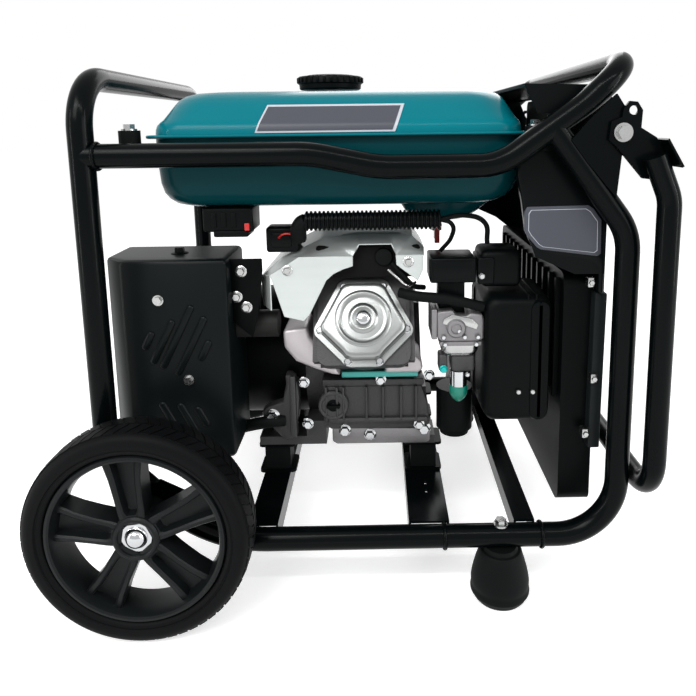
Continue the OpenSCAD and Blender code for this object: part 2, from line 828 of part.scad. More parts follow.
// Carburettor: flanged throat, body, float bowl and sump
module carburettor() {
    color([0.62, 0.6, 0.56]) centred() difference() {
        union() {
            translate([74, carb[1], carb[2]]) rotate([0, 90, 0]) cylinder(d = 40, h = 83.7);
            end_box([88, carb[1] - 32, 296], [97, carb[1] + 32, 340], 8);
            block([100, carb[1] - 26, 300], [154, carb[1] + 26, 342]);
            translate([carb[0], carb[1], 282]) cylinder(d = 52, h = 19);
            translate([carb[0], carb[1], 262]) cylinder(d = 38, h = 21);
        }
        translate([70, carb[1], carb[2]]) rotate([0, 90, 0]) cylinder(d = 26, h = 120);
    }
}

// Fuel cut-off solenoid under the bowl
module fuel_solenoid() {
    color(steel) centred() translate([carb[0], carb[1], 262]) {
        translate([0, 0, -22]) cylinder(d = 20, h = 22);
        translate([0, 0, -30]) cylinder(d = 24, h = 8);
    }
}

// Throttle motor box above the carburettor
module throttle_motor() {
    color(black) centred() {
        side_box([92, carb[1] - 26, 380], [174, carb[1] + 30, 418], 5);
        block([104, carb[1] - 10, 346], [112, carb[1] + 10, 380]);
        block([140, carb[1] - 10, 346], [148, carb[1] + 10, 380]);
    }
}

// Fixed half of the air filter's case
module air_filter_base() {
    color(black) centred() difference() {
        side_box([158, -104, 206], [248, -86, 374], 12);
        translate([152, carb[1], carb[2]]) rotate([0, 90, 0]) cylinder(d = 44.6, h = 30);
    }
}

// Cover of the air filter
module air_filter_cover() {
    color(black) centred() difference() {
        side_box([160, -192, 208], [246, -104 - fit, 372], 12);
        side_box([163, -189, 211], [243, -100, 369], 10);
        translate([152, carb[1], carb[2]]) rotate([0, 90, 0]) cylinder(d = 44.6, h = 30);
    }
}

// Breather hose from the rocker cover to the air filter
module breather_hose() {
    color(rubber) centred()
        bent_tube([[60, -180, 374], [108, -180, 374], [158, -180, 361]], [40], 6);
}

// Charcoal canister beside the crankcase
module canister() {
    color(black) centred() {
        translate([131, -112, 168]) cylinder(d = 50, h = 60);
        translate([131, -112, 160]) cylinder(d = 40, h = 8);
    }
}

// ---------- exhaust ----------

// Silencer drum, its inlet pipe and the mounting bracket
module muffler() {
    color([0.3, 0.28, 0.26]) centred() {
        side_box([-302, -172, 186], [-176, -104, 408], 30);
        translate([-176, -138, 330]) rotate([0, 90, 0]) cylinder(d = 36, h = 70);
        block([-159, -128, 334], [-132, -124, 412]);
    }
}

// One pressed louvre of the guard, centred on a point and leaning by an angle
module louvre(p, length, lean) {
    translate([p[0], -190, p[1]]) rotate([90, lean, 0]) {
        translate([-3.5, -length / 2, 0]) cube([7, length, 1.6]);
    }
}

// Sheet guard around the silencer, open at the back
module muffler_guard() {
    wall = 1.6;
    outline = [[-318, -96], [-318, -160], [-292, -190], [-160, -190], [-160, -96]];
    inner = [[-318 + wall, -90], [-318 + wall, -160 + 0.7], [-292 + 0.7, -190 + wall],
        [-160 - wall, -190 + wall], [-160 - wall, -90]];
    color(black) centred() {
        difference() {
            translate([0, 0, 166]) linear_extrude(262) polygon(outline);
            translate([0, 0, 166 + wall]) linear_extrude(262 - 2 * wall) polygon(inner);
            translate([-176, -138, 330]) rotate([0, 90, 0]) cylinder(d = 36.6, h = 70);
            for (p = guard_bolts)
                translate([p[0], -180, p[1]]) rotate([90, 0, 0]) cylinder(d = 6.6, h = 20);
            for (z = [200:16:264])
                block([-330, -150, z], [-310, -110, z + 7]);
        }
        for (k = [0:4])
            louvre([-262 + k * 17, 326 + [4, 0, 8, 0, -6][k]], [30, 62, 96, 88, 30][k], 27);
        for (k = [0:3])
            louvre([-258 + k * 20, 222 + [-8, 4, 4, 6][k]], [26, 66, 50, 28][k], -27);
    }
}

// ---------- electrics ----------

// Relay box under the tank
module relay_box() {
    color(black) centred() {
        side_box([-187, -190, 456], [-125, -140, 490], 4);
        block([-180, -180, 490], [-132, -150, 491.9]);
    }
}

// Corrugated conduit along the underside of the tank
module conduit() {
    rings = 26;
    x0 = -62;
    pitch = 6.4;
    color([0.03, 0.03, 0.03]) centred() translate([x0, -186, 472]) rotate([0, 90, 0]) {
        cylinder(r = 7.5, h = rings * pitch);
        for (k = [0:rings - 1]) translate([0, 0, k * pitch + 1.6]) cylinder(r = 9.3, h = 3.2);
    }
}

// Starter battery on the front cross member
module battery() {
    color([0.12, 0.12, 0.13]) centred() {
        block([152, 96, mount_base], [240, 200, 220]);
        block([152, 96, 220], [240, 200, 232]);
        for (y = [112, 184]) translate([170, y, 232]) cylinder(d = 14, h = 8);
    }
}

// Finned inverter box behind the control panel
module inverter_module() {
    color([0.16, 0.17, 0.18]) centred() {
        end_box([256, -196, 100], [297, 196, 406], 14);
        for (k = [0:11]) block([250, -180 + k * 31, 240], [256, -174 + k * 31, 396]);
    }
}

// Black housing around the control panel: two cheeks, a roof and a floor
module control_shroud() {
    wall = 3;
    outline = [[196, 634], [284, 632], [298, 600], [298, 410], [262, 410], [214, 432], [200, 470],
        [216, 560], [218, 590]];
    inner = [[198, 640 - 9], [282, 629], [330, 600], [330, 413], [262, 413], [190, 432], [190, 470],
        [190, 560], [190, 590]];
    color(black) centred() difference() {
        side_plate(outline, -217, 217);
        side_plate(inner, -217 + wall, 217 - wall);
        both_sides()
            translate([tank_bolt_x[1], -tank_bolt_y, seam_z - 30]) cylinder(d = 34, h = 60);
        tank_room();
    }
}

// Space that the tank's flange and the tank tabs take from the shroud
module tank_room() {
    block([150, -222, seam_z - 14], [236, 222, seam_z + 22]);
}

panel_x = 298;
socket_spot = [96, 330];
round_spot = [-96, 330];

// Control panel: face plate, sockets, display window and switch bosses
module control_panel() {
    color([0.1, 0.11, 0.12]) centred() difference() {
        union() {
            end_box([panel_x, -206, 252], [panel_x + 4, 206, 626], 12);
            translate([panel_x + 4, socket_spot[0], socket_spot[1]]) rotate([0, 90, 0])
                cylinder(d = 62, h = 8);
            translate([panel_x + 4, round_spot[0], round_spot[1]]) rotate([0, 90, 0])
                cylinder(d = 70, h = 10);
            end_box([panel_x + 4, -60, 540], [panel_x + 8, 60, 600], 6);
            end_box([panel_x + 4, -30, 440], [panel_x + 7, 30, 480], 4);
            hinge_ears(socket_spot, 14, 14.3);
            hinge_ears(round_spot, 16, 16.3);
        }
        hinge_pin(socket_spot, 14, 14.3, run);
        hinge_pin(round_spot, 16, 16.3, run);
        translate([panel_x + 6, socket_spot[0], socket_spot[1]]) rotate([0, 90, 0])
            cylinder(d = 46, h = 8);
        translate([panel_x + 6, round_spot[0], round_spot[1]]) rotate([0, 90, 0])
            cylinder(d = 54, h = 10);
        translate([panel_x - 1, -120, 500]) rotate([0, 90, 0]) cylinder(d = 10 + 2 * run, h = 12);
        translate([panel_x - 1, 120, 500]) rotate([0, 90, 0]) cylinder(d = 18.6, h = 12);
        block([panel_x + 1, -16, 446], [panel_x + 12, 16, 474]);
    }
}

lid_pin_r = 1.5;
lid_top = [40, 45];   // height of each lid's pin above its socket's middle

// Two ears that hold the pin of a socket's lid
module hinge_ears(spot, half, out) {
    rise = half == 14 ? lid_top[0] : lid_top[1];
    for (side = [-1, 1])
        translate([panel_x + 3.5, spot[0] + side * (half + 2.3) - 2, spot[1] + rise - 4])
            cube([out, 4, 8]);
}

// Pin of a socket's lid, or its hole when given some clearance
module hinge_pin(spot, half, out, extra) {
    rise = half == 14 ? lid_top[0] : lid_top[1];
    translate([panel_x + out, spot[0] - half - 4, spot[1] + rise])
        rotate([-90, 0, 0]) cylinder(r = lid_pin_r + extra, h = 2 * half + 8);
}

// Hinged lid of the household socket
module socket_lid() {
    x = panel_x + 12 + fit;
    color([0.04, 0.04, 0.05]) centred() translate([0, socket_spot[0], socket_spot[1]]) {
        translate([x, 0, 0]) rotate([0, 90, 0]) cylinder(d = 64, h = 5);
        block([x, -12, 28], [x + 5, 12, 40]);
        translate([x + 2, -14, 40]) rotate([-90, 0, 0]) cylinder(d = 6, h = 28);
    }
    color([0.04, 0.04, 0.05]) centred() hinge_pin(socket_spot, 14, 14.3, 0);
}

// Hinged lid of the round power socket
module round_lid() {
    x = panel_x + 14 + fit;
    color([0.04, 0.04, 0.05]) centred() translate([0, round_spot[0], round_spot[1]]) {
        translate([x, 0, 0]) rotate([0, 90, 0]) cylinder(d = 72, h = 6);
        block([x, -14, 32], [x + 5, 14, 45]);
        translate([x + 2, -16, 45]) rotate([-90, 0, 0]) cylinder(d = 6, h = 32);
    }
    color([0.04, 0.04, 0.05]) centred() hinge_pin(round_spot, 16, 16.3, 0);
}

// Start button
module start_button() {
    color([0.1, 0.5, 0.2]) centred() translate([panel_x, 120, 500]) rotate([0, 90, 0]) {
        cylinder(d = 18, h = 9);
    }
}

// Rotary engine switch
module switch_knob() {
    color([0.05, 0.05, 0.05]) centred() translate([panel_x, -120, 500]) rotate([0, 90, 0]) {
        cylinder(d = 10, h = 5);
        translate([0, 0, 4 + fit]) cylinder(d = 34, h = 8);
        translate([-16, -4, 12]) cube([32, 8, 8]);
    }
}

// Rocker of the circuit breaker
module breaker_rocker() {
    color([0.06, 0.06, 0.06]) centred() translate([panel_x + 7, 0, 460]) {
        rotate([90, 0, 0]) linear_extrude(28, center = true)
            polygon([[-4, -9], [4, -12], [1.5, 0], [4, 12], [-4, 9]]);
    }
}

rear_hoop();
top_rail();
front_loops();
cross_members();
tank_tabs();
pivot_brackets();
axle_brackets();
rubber_feet();
flange_bolts();
rim_near();
tyre_near();
rim_far();
tyre_far();
hub_caps();
transport_handle();
handle_plates();
tank_upper();
tank_lower();
tank_bushes();
fuel_cap();
fuel_tap();
fuel_tap_lever();
engine_mounts();
mount_plates();
crankcase();
cylinder_barrel();
cylinder_shroud();
cylinder_head();
valve_cover();
heat_shield();
spark_plug();
plug_boot();
dipstick();
crankshaft();
starter_motor();
alternator_housing();
stator();
rotor();
recoil_cover();
recoil_grip();
carburettor();
fuel_solenoid();
throttle_motor();
air_filter_base();
air_filter_cover();
breather_hose();
muffler();
muffler_guard();
relay_box();
conduit();
canister();
battery();
inverter_module();
control_shroud();
control_panel();
socket_lid();
round_lid();
start_button();
switch_knob();
breaker_rocker();
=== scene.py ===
# %% [markdown]
# # A portable generator, modelled around its engineering model
# The machine stands on two wheels and two rubber feet. Its metal frame, its joints and every
# solid are already made; here each piece gets the shape and the finish that the eye sees.
# First we load the finished frame and keep its overall box, so that nothing grows past it.

import json
import math

import bpy
from mathutils import Matrix, Vector


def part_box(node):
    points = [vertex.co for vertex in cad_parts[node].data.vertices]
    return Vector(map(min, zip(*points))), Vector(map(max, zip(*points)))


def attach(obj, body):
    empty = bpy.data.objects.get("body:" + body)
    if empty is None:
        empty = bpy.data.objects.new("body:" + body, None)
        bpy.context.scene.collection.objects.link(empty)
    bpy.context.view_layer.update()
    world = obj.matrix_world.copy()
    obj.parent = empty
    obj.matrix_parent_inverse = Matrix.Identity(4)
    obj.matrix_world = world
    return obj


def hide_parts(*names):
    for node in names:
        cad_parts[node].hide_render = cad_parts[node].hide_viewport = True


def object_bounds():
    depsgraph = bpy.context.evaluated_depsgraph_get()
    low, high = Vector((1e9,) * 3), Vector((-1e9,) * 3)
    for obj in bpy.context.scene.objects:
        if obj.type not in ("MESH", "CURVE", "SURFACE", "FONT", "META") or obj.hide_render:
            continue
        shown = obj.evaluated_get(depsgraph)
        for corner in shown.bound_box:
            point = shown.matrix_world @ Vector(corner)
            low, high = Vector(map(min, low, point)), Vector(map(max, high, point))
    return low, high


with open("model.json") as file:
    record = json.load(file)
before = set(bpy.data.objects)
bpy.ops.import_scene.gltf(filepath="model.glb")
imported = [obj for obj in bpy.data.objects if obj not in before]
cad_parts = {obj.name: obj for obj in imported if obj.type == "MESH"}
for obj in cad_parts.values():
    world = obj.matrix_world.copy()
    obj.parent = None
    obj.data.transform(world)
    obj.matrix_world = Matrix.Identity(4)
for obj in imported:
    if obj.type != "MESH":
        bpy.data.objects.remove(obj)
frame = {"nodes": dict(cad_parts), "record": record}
cad_low, cad_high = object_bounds()
print("machine box", [round(v, 3) for v in cad_high - cad_low])

# %% [markdown]
# ## Camera
# A product view from the engine's side, with the camera a little above the tank's height and
# close enough that the wheel looks large. A shifted lens keeps the uprights nearly parallel, as
# an architect's camera does, because the camera itself then tilts down less.

# %% Camera
lens_data = bpy.data.cameras.new("camera")
lens_data.sensor_width = 36
lens_data.lens = 33.0
lens_data.shift_x = -0.0532
lens_data.shift_y = -0.175
camera = bpy.data.objects.new("camera", lens_data)
bpy.context.scene.collection.objects.link(camera)
bpy.context.scene.camera = camera
look = (
    Matrix.Rotation(math.radians(-0.585), 4, "Z")
    @ Matrix.Rotation(math.radians(90 - 9.106), 4, "X")
    @ Matrix.Rotation(math.radians(-0.688), 4, "Z")
)
camera.matrix_world = Matrix.Translation((0.0381, -0.9591, 0.5902)) @ look
print("camera at", [round(v, 3) for v in camera.location])

# %% [markdown]
# ## Studio
# Black paint and polished metal are only as good as what they reflect, so the studio is a pale
# floor, a white surrounding, three large soft lamps and three narrow strips that draw long thin
# highlights down the tubes. The surrounding is white for the camera
# and in reflections, but lights the machine less, so black stays black.

# %% Floor and surrounding
scene = bpy.context.scene
scene.view_settings.view_transform = "Standard"

bpy.ops.object.select_all(action="DESELECT")
bpy.ops.mesh.primitive_plane_add(size=30, location=(0, 0, -0.0005))
floor = bpy.context.object
floor.name = "floor"


def seen_by_camera(tree):
    """One for camera, glossy and transmission rays, and zero for the rays that carry light."""
    rays = tree.nodes.new("ShaderNodeLightPath")
    through = tree.nodes.new("ShaderNodeMath")
    through.operation = "MAXIMUM"
    tree.links.new(rays.outputs["Is Glossy Ray"], through.inputs[0])
    tree.links.new(rays.outputs["Is Transmission Ray"], through.inputs[1])
    seen = tree.nodes.new("ShaderNodeMath")
    seen.operation = "MAXIMUM"
    tree.links.new(rays.outputs["Is Camera Ray"], seen.inputs[0])
    tree.links.new(through.outputs[0], seen.inputs[1])
    return seen.outputs[0]


floor_paint = bpy.data.materials.new("pale floor")
floor_paint.use_nodes = True
nodes, links = floor_paint.node_tree.nodes, floor_paint.node_tree.links
shader = nodes["Principled BSDF"]
shader.inputs["Base Color"].default_value = (0.8, 0.8, 0.8, 1)
shader.inputs["Roughness"].default_value = 0.9
shader.inputs["Specular IOR Level"].default_value = 0.0
shader.inputs["Emission Color"].default_value = (1, 1, 1, 1)
glow = nodes.new("ShaderNodeMath")
glow.operation = "MULTIPLY"
glow.inputs[1].default_value = 0.56
links.new(seen_by_camera(floor_paint.node_tree), glow.inputs[0])
links.new(glow.outputs[0], shader.inputs["Emission Strength"])
floor.data.materials.append(floor_paint)

world = bpy.data.worlds.new("studio")
scene.world = world
world.use_nodes = True
nodes, links = world.node_tree.nodes, world.node_tree.links
level = nodes.new("ShaderNodeMapRange")
level.inputs["To Min"].default_value = 0.55
level.inputs["To Max"].default_value = 1.0
links.new(seen_by_camera(world.node_tree), level.inputs["Value"])
links.new(level.outputs["Result"], nodes["Background"].inputs["Strength"])
nodes["Background"].inputs["Color"].default_value = (1, 1, 1, 1)


# %% Lamps
def soft_lamp(name, place, target, size, watts):
    """A rectangular area lamp that faces its target; size is its width and height."""
    data = bpy.data.lights.new(name, "AREA")
    data.shape = "RECTANGLE"
    data.size, data.size_y = size
    data.energy = watts
    lamp = bpy.data.objects.new(name, data)
    lamp.location = place
    lamp.rotation_euler = (Vector(target) - Vector(place)).to_track_quat("-Z", "Y").to_euler()
    scene.collection.objects.link(lamp)
    return lamp


middle = (cad_low + cad_high) / 2
soft_lamp("key lamp", (-0.9, -1.8, 2.0), middle, (1.3, 1.3), 36)
soft_lamp("fill lamp", (1.9, -1.5, 0.9), middle, (1.2, 1.2), 14)
soft_lamp("back lamp", (0.4, 1.9, 1.6), middle, (1.6, 1.6), 24)
soft_lamp("upper strip", (0.0, -1.5, 1.9), middle, (2.6, 0.07), 16)
soft_lamp("left strip", (-1.9, -1.1, 0.7), middle, (0.07, 1.6), 10)
soft_lamp("right strip", (1.8, -0.9, 0.7), middle, (0.07, 1.6), 10)
print("studio ready,", len(bpy.data.lights), "lamps")

# %% [markdown]
# ## Finishes
# Real surfaces are never one flat value. One shader group, *surface*, breaks up colour and
# roughness with two sizes of noise and adds a fine grain as bump; a second group, *brushed*,
# stretches its noise along one direction for drawn or ground metal. Each finish then uses the
# groups with its own numbers, and keeps its shader, with metallic and coat, in the material.


# %% The surface group
def socket(group, name, kind, default=None, output=False):
    """Adds a named input or output to a shader group."""
    made = group.interface.new_socket(name=name, in_out="OUTPUT" if output else "INPUT", socket_type=kind)
    if default is not None:
        made.default_value = default
    return made


def surface_group(name, stretch):
    """Colour, roughness and bump that change over the surface; stretch is the noise's proportion."""
    group = bpy.data.node_groups.new(name, "ShaderNodeTree")
    socket(group, "Color", "NodeSocketColor", (0.5, 0.5, 0.5, 1))
    socket(group, "Roughness", "NodeSocketFloat", 0.4)
    socket(group, "Variation", "NodeSocketFloat", 0.1)
    socket(group, "Patch Scale", "NodeSocketFloat", 9.0)
    socket(group, "Grain Scale", "NodeSocketFloat", 900.0)
    socket(group, "Grain Depth", "NodeSocketFloat", 0.1)
    socket(group, "Color", "NodeSocketColor", output=True)
    socket(group, "Roughness", "NodeSocketFloat", output=True)
    socket(group, "Normal", "NodeSocketVector", output=True)
    n, l = group.nodes, group.links
    inside, outside = n.new("NodeGroupInput"), n.new("NodeGroupOutput")
    where = n.new("ShaderNodeTexCoord")
    shape = n.new("ShaderNodeMapping")
    shape.inputs["Scale"].default_value = stretch
    l.new(where.outputs["Object"], shape.inputs["Vector"])
    patches = n.new("ShaderNodeTexNoise")
    patches.inputs["Detail"].default_value = 4
    l.new(where.outputs["Object"], patches.inputs["Vector"])
    l.new(inside.outputs["Patch Scale"], patches.inputs["Scale"])
    grain = n.new("ShaderNodeTexNoise")
    grain.inputs["Detail"].default_value = 2
    l.new(shape.outputs["Vector"], grain.inputs["Vector"])
    l.new(inside.outputs["Grain Scale"], grain.inputs["Scale"])
    spread = n.new("ShaderNodeMath")
    spread.operation = "MULTIPLY_ADD"
    spread.inputs[1].default_value = 0.65
    l.new(patches.outputs["Fac"], spread.inputs[0])
    weight = n.new("ShaderNodeMath")
    weight.operation = "MULTIPLY"
    weight.inputs[1].default_value = 0.35
    l.new(grain.outputs["Fac"], weight.inputs[0])
    l.new(weight.outputs[0], spread.inputs[2])
    centred = n.new("ShaderNodeMath")
    centred.operation = "SUBTRACT"
    centred.inputs[1].default_value = 0.5
    l.new(spread.outputs[0], centred.inputs[0])
    amount = n.new("ShaderNodeMath")
    amount.operation = "MULTIPLY_ADD"
    amount.inputs[2].default_value = 1.0
    l.new(centred.outputs[0], amount.inputs[0])
    l.new(inside.outputs["Variation"], amount.inputs[1])
    tint = n.new("ShaderNodeVectorMath")
    tint.operation = "SCALE"
    l.new(inside.outputs["Color"], tint.inputs[0])
    l.new(amount.outputs[0], tint.inputs["Scale"])
    l.new(tint.outputs["Vector"], outside.inputs["Color"])
    rough = n.new("ShaderNodeMath")
    rough.operation = "MULTIPLY"
    rough.use_clamp = True
    l.new(inside.outputs["Roughness"], rough.inputs[0])
    l.new(amount.outputs[0], rough.inputs[1])
    l.new(rough.outputs[0], outside.inputs["Roughness"])
    bump = n.new("ShaderNodeBump")
    bump.inputs["Distance"].default_value = 0.0006
    l.new(grain.outputs["Fac"], bump.inputs["Height"])
    l.new(inside.outputs["Grain Depth"], bump.inputs["Strength"])
    l.new(bump.outputs["Normal"], outside.inputs["Normal"])
    return group


surface = surface_group("surface", (1, 1, 1))
brushed = surface_group("brushed", (0.04, 1, 1))
print("groups:", [g.name for g in bpy.data.node_groups])


# %% A finish made from a group
def finish(name, color, roughness, metallic=0.0, variation=0.15, patch=9.0, grain=900.0, depth=0.1,
           coat=0.0, specular=0.5, group=None):
    """A material whose colour, roughness and normal come from a surface group."""
    made = bpy.data.materials.new(name)
    made.use_nodes = True
    n, l = made.node_tree.nodes, made.node_tree.links
    shader = n["Principled BSDF"]
    look = n.new("ShaderNodeGroup")
    look.node_tree = group or surface
    look.inputs["Color"].default_value = (*color, 1)
    look.inputs["Roughness"].default_value = roughness
    look.inputs["Variation"].default_value = variation
    look.inputs["Patch Scale"].default_value = patch
    look.inputs["Grain Scale"].default_value = grain
    look.inputs["Grain Depth"].default_value = depth
    l.new(look.outputs["Color"], shader.inputs["Base Color"])
    l.new(look.outputs["Roughness"], shader.inputs["Roughness"])
    l.new(look.outputs["Normal"], shader.inputs["Normal"])
    shader.inputs["Metallic"].default_value = metallic
    shader.inputs["Coat Weight"].default_value = coat
    shader.inputs["Coat Roughness"].default_value = 0.06
    shader.inputs["Specular IOR Level"].default_value = specular
    return made


# %% [markdown]
# The frame is powder coated in gloss black, which has a faint orange peel. The tank is enamel
# with a clear coat. Castings are rough and matt, machined faces are brushed, and the plastics
# have a moulded grain. Rubber is the darkest and dullest of all.

# %% All finishes
black_gloss = finish(
    "black gloss powder coat", (0.0011, 0.0019, 0.0021), 0.2, grain=420, depth=0.06, specular=0.06
)
black_satin = finish(
    "black satin paint", (0.0010, 0.0014, 0.0015), 0.4, grain=1400, depth=0.1, specular=0.05
)
guard_paint = finish(
    "guard satin black", (0.0020, 0.0034, 0.0036), 0.36, grain=900, depth=0.08, specular=0.1
)
tank_enamel = finish(
    "teal enamel", (0.0004, 0.128, 0.158), 0.24, variation=0.06, grain=300, depth=0.02, coat=0.02,
    specular=0.07
)
# The lower shell is the same teal enamel as the upper one, painted about four times darker: painted shade
# for the tank's underside.
teal_painted_shade = finish(
    "teal enamel, painted shade", (0.0006, 0.032, 0.038), 0.26, variation=0.06, grain=300, depth=0.02, coat=0.01,
    specular=0.06
)
plastic = finish(
    "moulded black plastic", (0.0014, 0.0021, 0.0022), 0.42, grain=1600, depth=0.18, specular=0.06
)
plastic_smooth = finish(
    "smooth black plastic", (0.0016, 0.0024, 0.0026), 0.3, grain=700, depth=0.05, specular=0.07
)
rubber = finish(
    "black rubber", (0.0024, 0.0030, 0.0031), 0.6, variation=0.3, grain=1100, depth=0.2, specular=0.07
)
tyre_rubber = finish(
    "tyre rubber", (0.0021, 0.0023, 0.0026), 0.55, variation=0.3, grain=1500, depth=0.15, specular=0.06
)
wheel_paint = finish(
    "charcoal wheel paint", (0.0050, 0.0062, 0.0066), 0.34, variation=0.2, grain=1200, depth=0.12,
    specular=0.12
)
cast_grey = finish("sand cast aluminium", (0.050, 0.050, 0.051), 0.5, 0.6, 0.5, 14, 520, 0.8, specular=0.3)
cowl_grey = finish("cowl light grey", (0.46, 0.43, 0.44), 0.42, 0.4, 0.15, 14, 520, 0.2)
cast_light = finish("light cast aluminium", (0.19, 0.185, 0.19), 0.46, 0.7, 0.35, 14, 520, 0.6)
satin_metal = finish("satin aluminium", (0.26, 0.27, 0.265), 0.3, 0.95, 0.2, 10, 700, 0.12)
# The heat shield's sheet is half metal and half a pale greenish diffuse colour. That colour is painted
# reflection of the white surroundings and the teal tank above it.
sheet_and_painted_reflection = finish("sheet metal, painted reflection", (0.47, 0.505, 0.495), 0.24, 0.5, 0.2, 22, 160, 0.05, group=brushed)
zinc = finish("zinc plating", (0.40, 0.405, 0.40), 0.26, 1.0, 0.25, 40, 900, 0.1)
chrome = finish("chrome", (0.46, 0.47, 0.48), 0.14, 1.0, 0.2, 40, 900, 0.02)
iron_stack = finish("laminated iron", (0.12, 0.11, 0.10), 0.5, 0.8, 0.4, 20, 500, 0.5, group=brushed)
heat_paint = finish(
    "heat-proof grey paint", (0.014, 0.0135, 0.013), 0.55, 0.2, 0.5, 12, 700, 0.5, specular=0.15
)
plate_grey = finish("grey plate", (0.055, 0.058, 0.072), 0.35, variation=0.06, depth=0.03, specular=0.2)
plate_edge = finish("pale plate border", (0.42, 0.44, 0.48), 0.4, variation=0.05, depth=0.02, specular=0.2)
panel_paint = finish("panel grey", (0.0065, 0.0085, 0.0088), 0.42, grain=1500, depth=0.12, specular=0.1)
red_plastic = finish("red plastic", (0.42, 0.012, 0.01), 0.35, variation=0.1, depth=0.05)
green_plastic = finish("green rubber cap", (0.0, 0.16, 0.11), 0.35, variation=0.1, depth=0.05)
teal_paint = finish("teal drain screw", (0.0, 0.36, 0.34), 0.3, 0.4, 0.1, depth=0.05)
# Flat near-black: painted shade for the openings of slots and vents, and for the hollow behind the heat
# shield.
painted_shade = finish("shadowed opening", (0.003, 0.003, 0.003), 0.8, specular=0.1, depth=0.05)

looks = {
    "frame_black": black_gloss, "plate_black": black_satin, "rubber_black": rubber, "bolt_steel": zinc,
    "cap_chrome": chrome, "wheel_grey": wheel_paint, "tyre_black": tyre_rubber, "tank_teal": tank_enamel,
    "tank_deep_teal": teal_painted_shade, "plastic_black": plastic, "shroud_black": plastic_smooth,
    "panel_grey": panel_paint, "lever_red": red_plastic, "button_green": green_plastic,
    "engine_cast": cast_grey, "shroud_cast": cowl_grey, "cover_satin": satin_metal,
    "shield_bright": sheet_and_painted_reflection, "solenoid_steel": zinc, "starter_black": black_satin,
    "iron_dark": iron_stack, "muffler_steel": heat_paint, "guard_black": guard_paint,
    "inverter_alloy": black_satin,
}
slot_of = {row["node"]: row["material_slot"] for row in frame["record"]["subparts"]}
for name, part in frame["nodes"].items():
    part.data.materials.clear()
    part.data.materials.append(looks[slot_of[name]])
print(len(frame["nodes"]), "nodes finished")

# %% [markdown]
# ## A small workshop of helpers
# Every piece starts from a primitive at its place. These helpers keep the steps short: clearing
# the selection, naming, turning a section round an axis, and raising an outline ring by ring.
# The section's corners are a circle primitive's vertices, dragged to where the piece wants them.


# %% Selecting and naming
def clear():
    """Nothing selected, and object mode."""
    if bpy.context.object and bpy.context.object.mode != "OBJECT":
        bpy.ops.object.mode_set(mode="OBJECT")
    bpy.ops.object.select_all(action="DESELECT")


def only(piece):
    """Just this piece selected and active."""
    clear()
    piece.hide_set(False)
    piece.select_set(True)
    bpy.context.view_layer.objects.active = piece
    return piece


def smooth(piece, angle=35):
    """Shades the piece smooth where its faces meet at less than the angle."""
    only(piece)
    bpy.ops.object.shade_smooth_by_angle(angle=math.radians(angle))
    return piece


def settle(piece, name, material, body="frame", node=None, slot=None, angle=35):
    """Names a finished piece, bakes its place into its mesh, paints it and makes it ride."""
    only(piece)
    bpy.ops.object.transform_apply(location=True, rotation=True, scale=True)
    smooth(piece, angle)
    piece.name = name
    piece.data.name = name
    piece.data.materials.clear()
    piece.data.materials.append(material)
    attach(piece, body)
    if node:
        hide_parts(*([node] if isinstance(node, str) else node))
        slot = slot or slot_of[node if isinstance(node, str) else node[0]]
    return piece


def tidy_mesh(piece):
    """Merges doubled vertices and turns every face outwards."""
    only(piece)
    bpy.ops.object.mode_set(mode="EDIT")
    bpy.ops.mesh.select_all(action="SELECT")
    bpy.ops.mesh.remove_doubles(threshold=0.00002)
    bpy.ops.mesh.dissolve_degenerate(threshold=0.00001)
    bpy.ops.mesh.normals_make_consistent(inside=False)
    bpy.ops.object.mode_set(mode="OBJECT")
    return piece


def bevelled(piece, width, segments=2, angle=30):
    """Rounds the piece's sharp edges with an applied Bevel modifier."""
    only(piece)
    soft = piece.modifiers.new("edges", "BEVEL")
    soft.width = width
    soft.segments = segments
    soft.limit_method = "ANGLE"
    soft.angle_limit = math.radians(angle)
    bpy.ops.object.modifier_apply(modifier=soft.name)
    return piece


def joined(pieces):
    """Joins several pieces into the first one."""
    clear()
    for p in pieces:
        p.select_set(True)
    bpy.context.view_layer.objects.active = pieces[0]
    bpy.ops.object.join()
    return pieces[0]


def copy_of(piece, matrix):
    """A copy with its own mesh, moved by the matrix."""
    only(piece)
    bpy.ops.object.duplicate(linked=False)
    made = bpy.context.object
    made.data.transform(matrix)
    return made


# %% Turning and raising
def drag(piece, points):
    """Drags a ring primitive's vertices to the given points, in order."""
    for vertex, point in zip(piece.data.vertices, points):
        vertex.co = point
    piece.data.update()


def ring(points, filled):
    """A ring of vertices from a circle primitive, dragged to the points."""
    clear()
    bpy.ops.mesh.primitive_circle_add(vertices=len(points), fill_type="NGON" if filled else "NOTHING")
    made = bpy.context.object
    drag(made, points)
    return made


def axes_of(axis):
    """Two directions that are square to an axis and to each other."""
    axis = Vector(axis).normalized()
    side = Vector((0, 0, 1)) if abs(axis.z) < 0.9 else Vector((1, 0, 0))
    first = axis.cross(side).normalized()
    return axis, first, axis.cross(first).normalized()


def turned(profile, centre, axis, steps=64):
    """Spins a closed section of (radius, height) points round an axis, as on a lathe."""
    axis, first, _ = axes_of(axis)
    centre = Vector(centre)
    made = ring([centre + first * r + axis * h for r, h in profile], False)
    bpy.ops.object.mode_set(mode="EDIT")
    bpy.ops.mesh.select_all(action="SELECT")
    bpy.ops.mesh.spin(steps=steps, angle=2 * math.pi, center=centre, axis=axis)
    bpy.ops.object.mode_set(mode="OBJECT")
    return tidy_mesh(made)


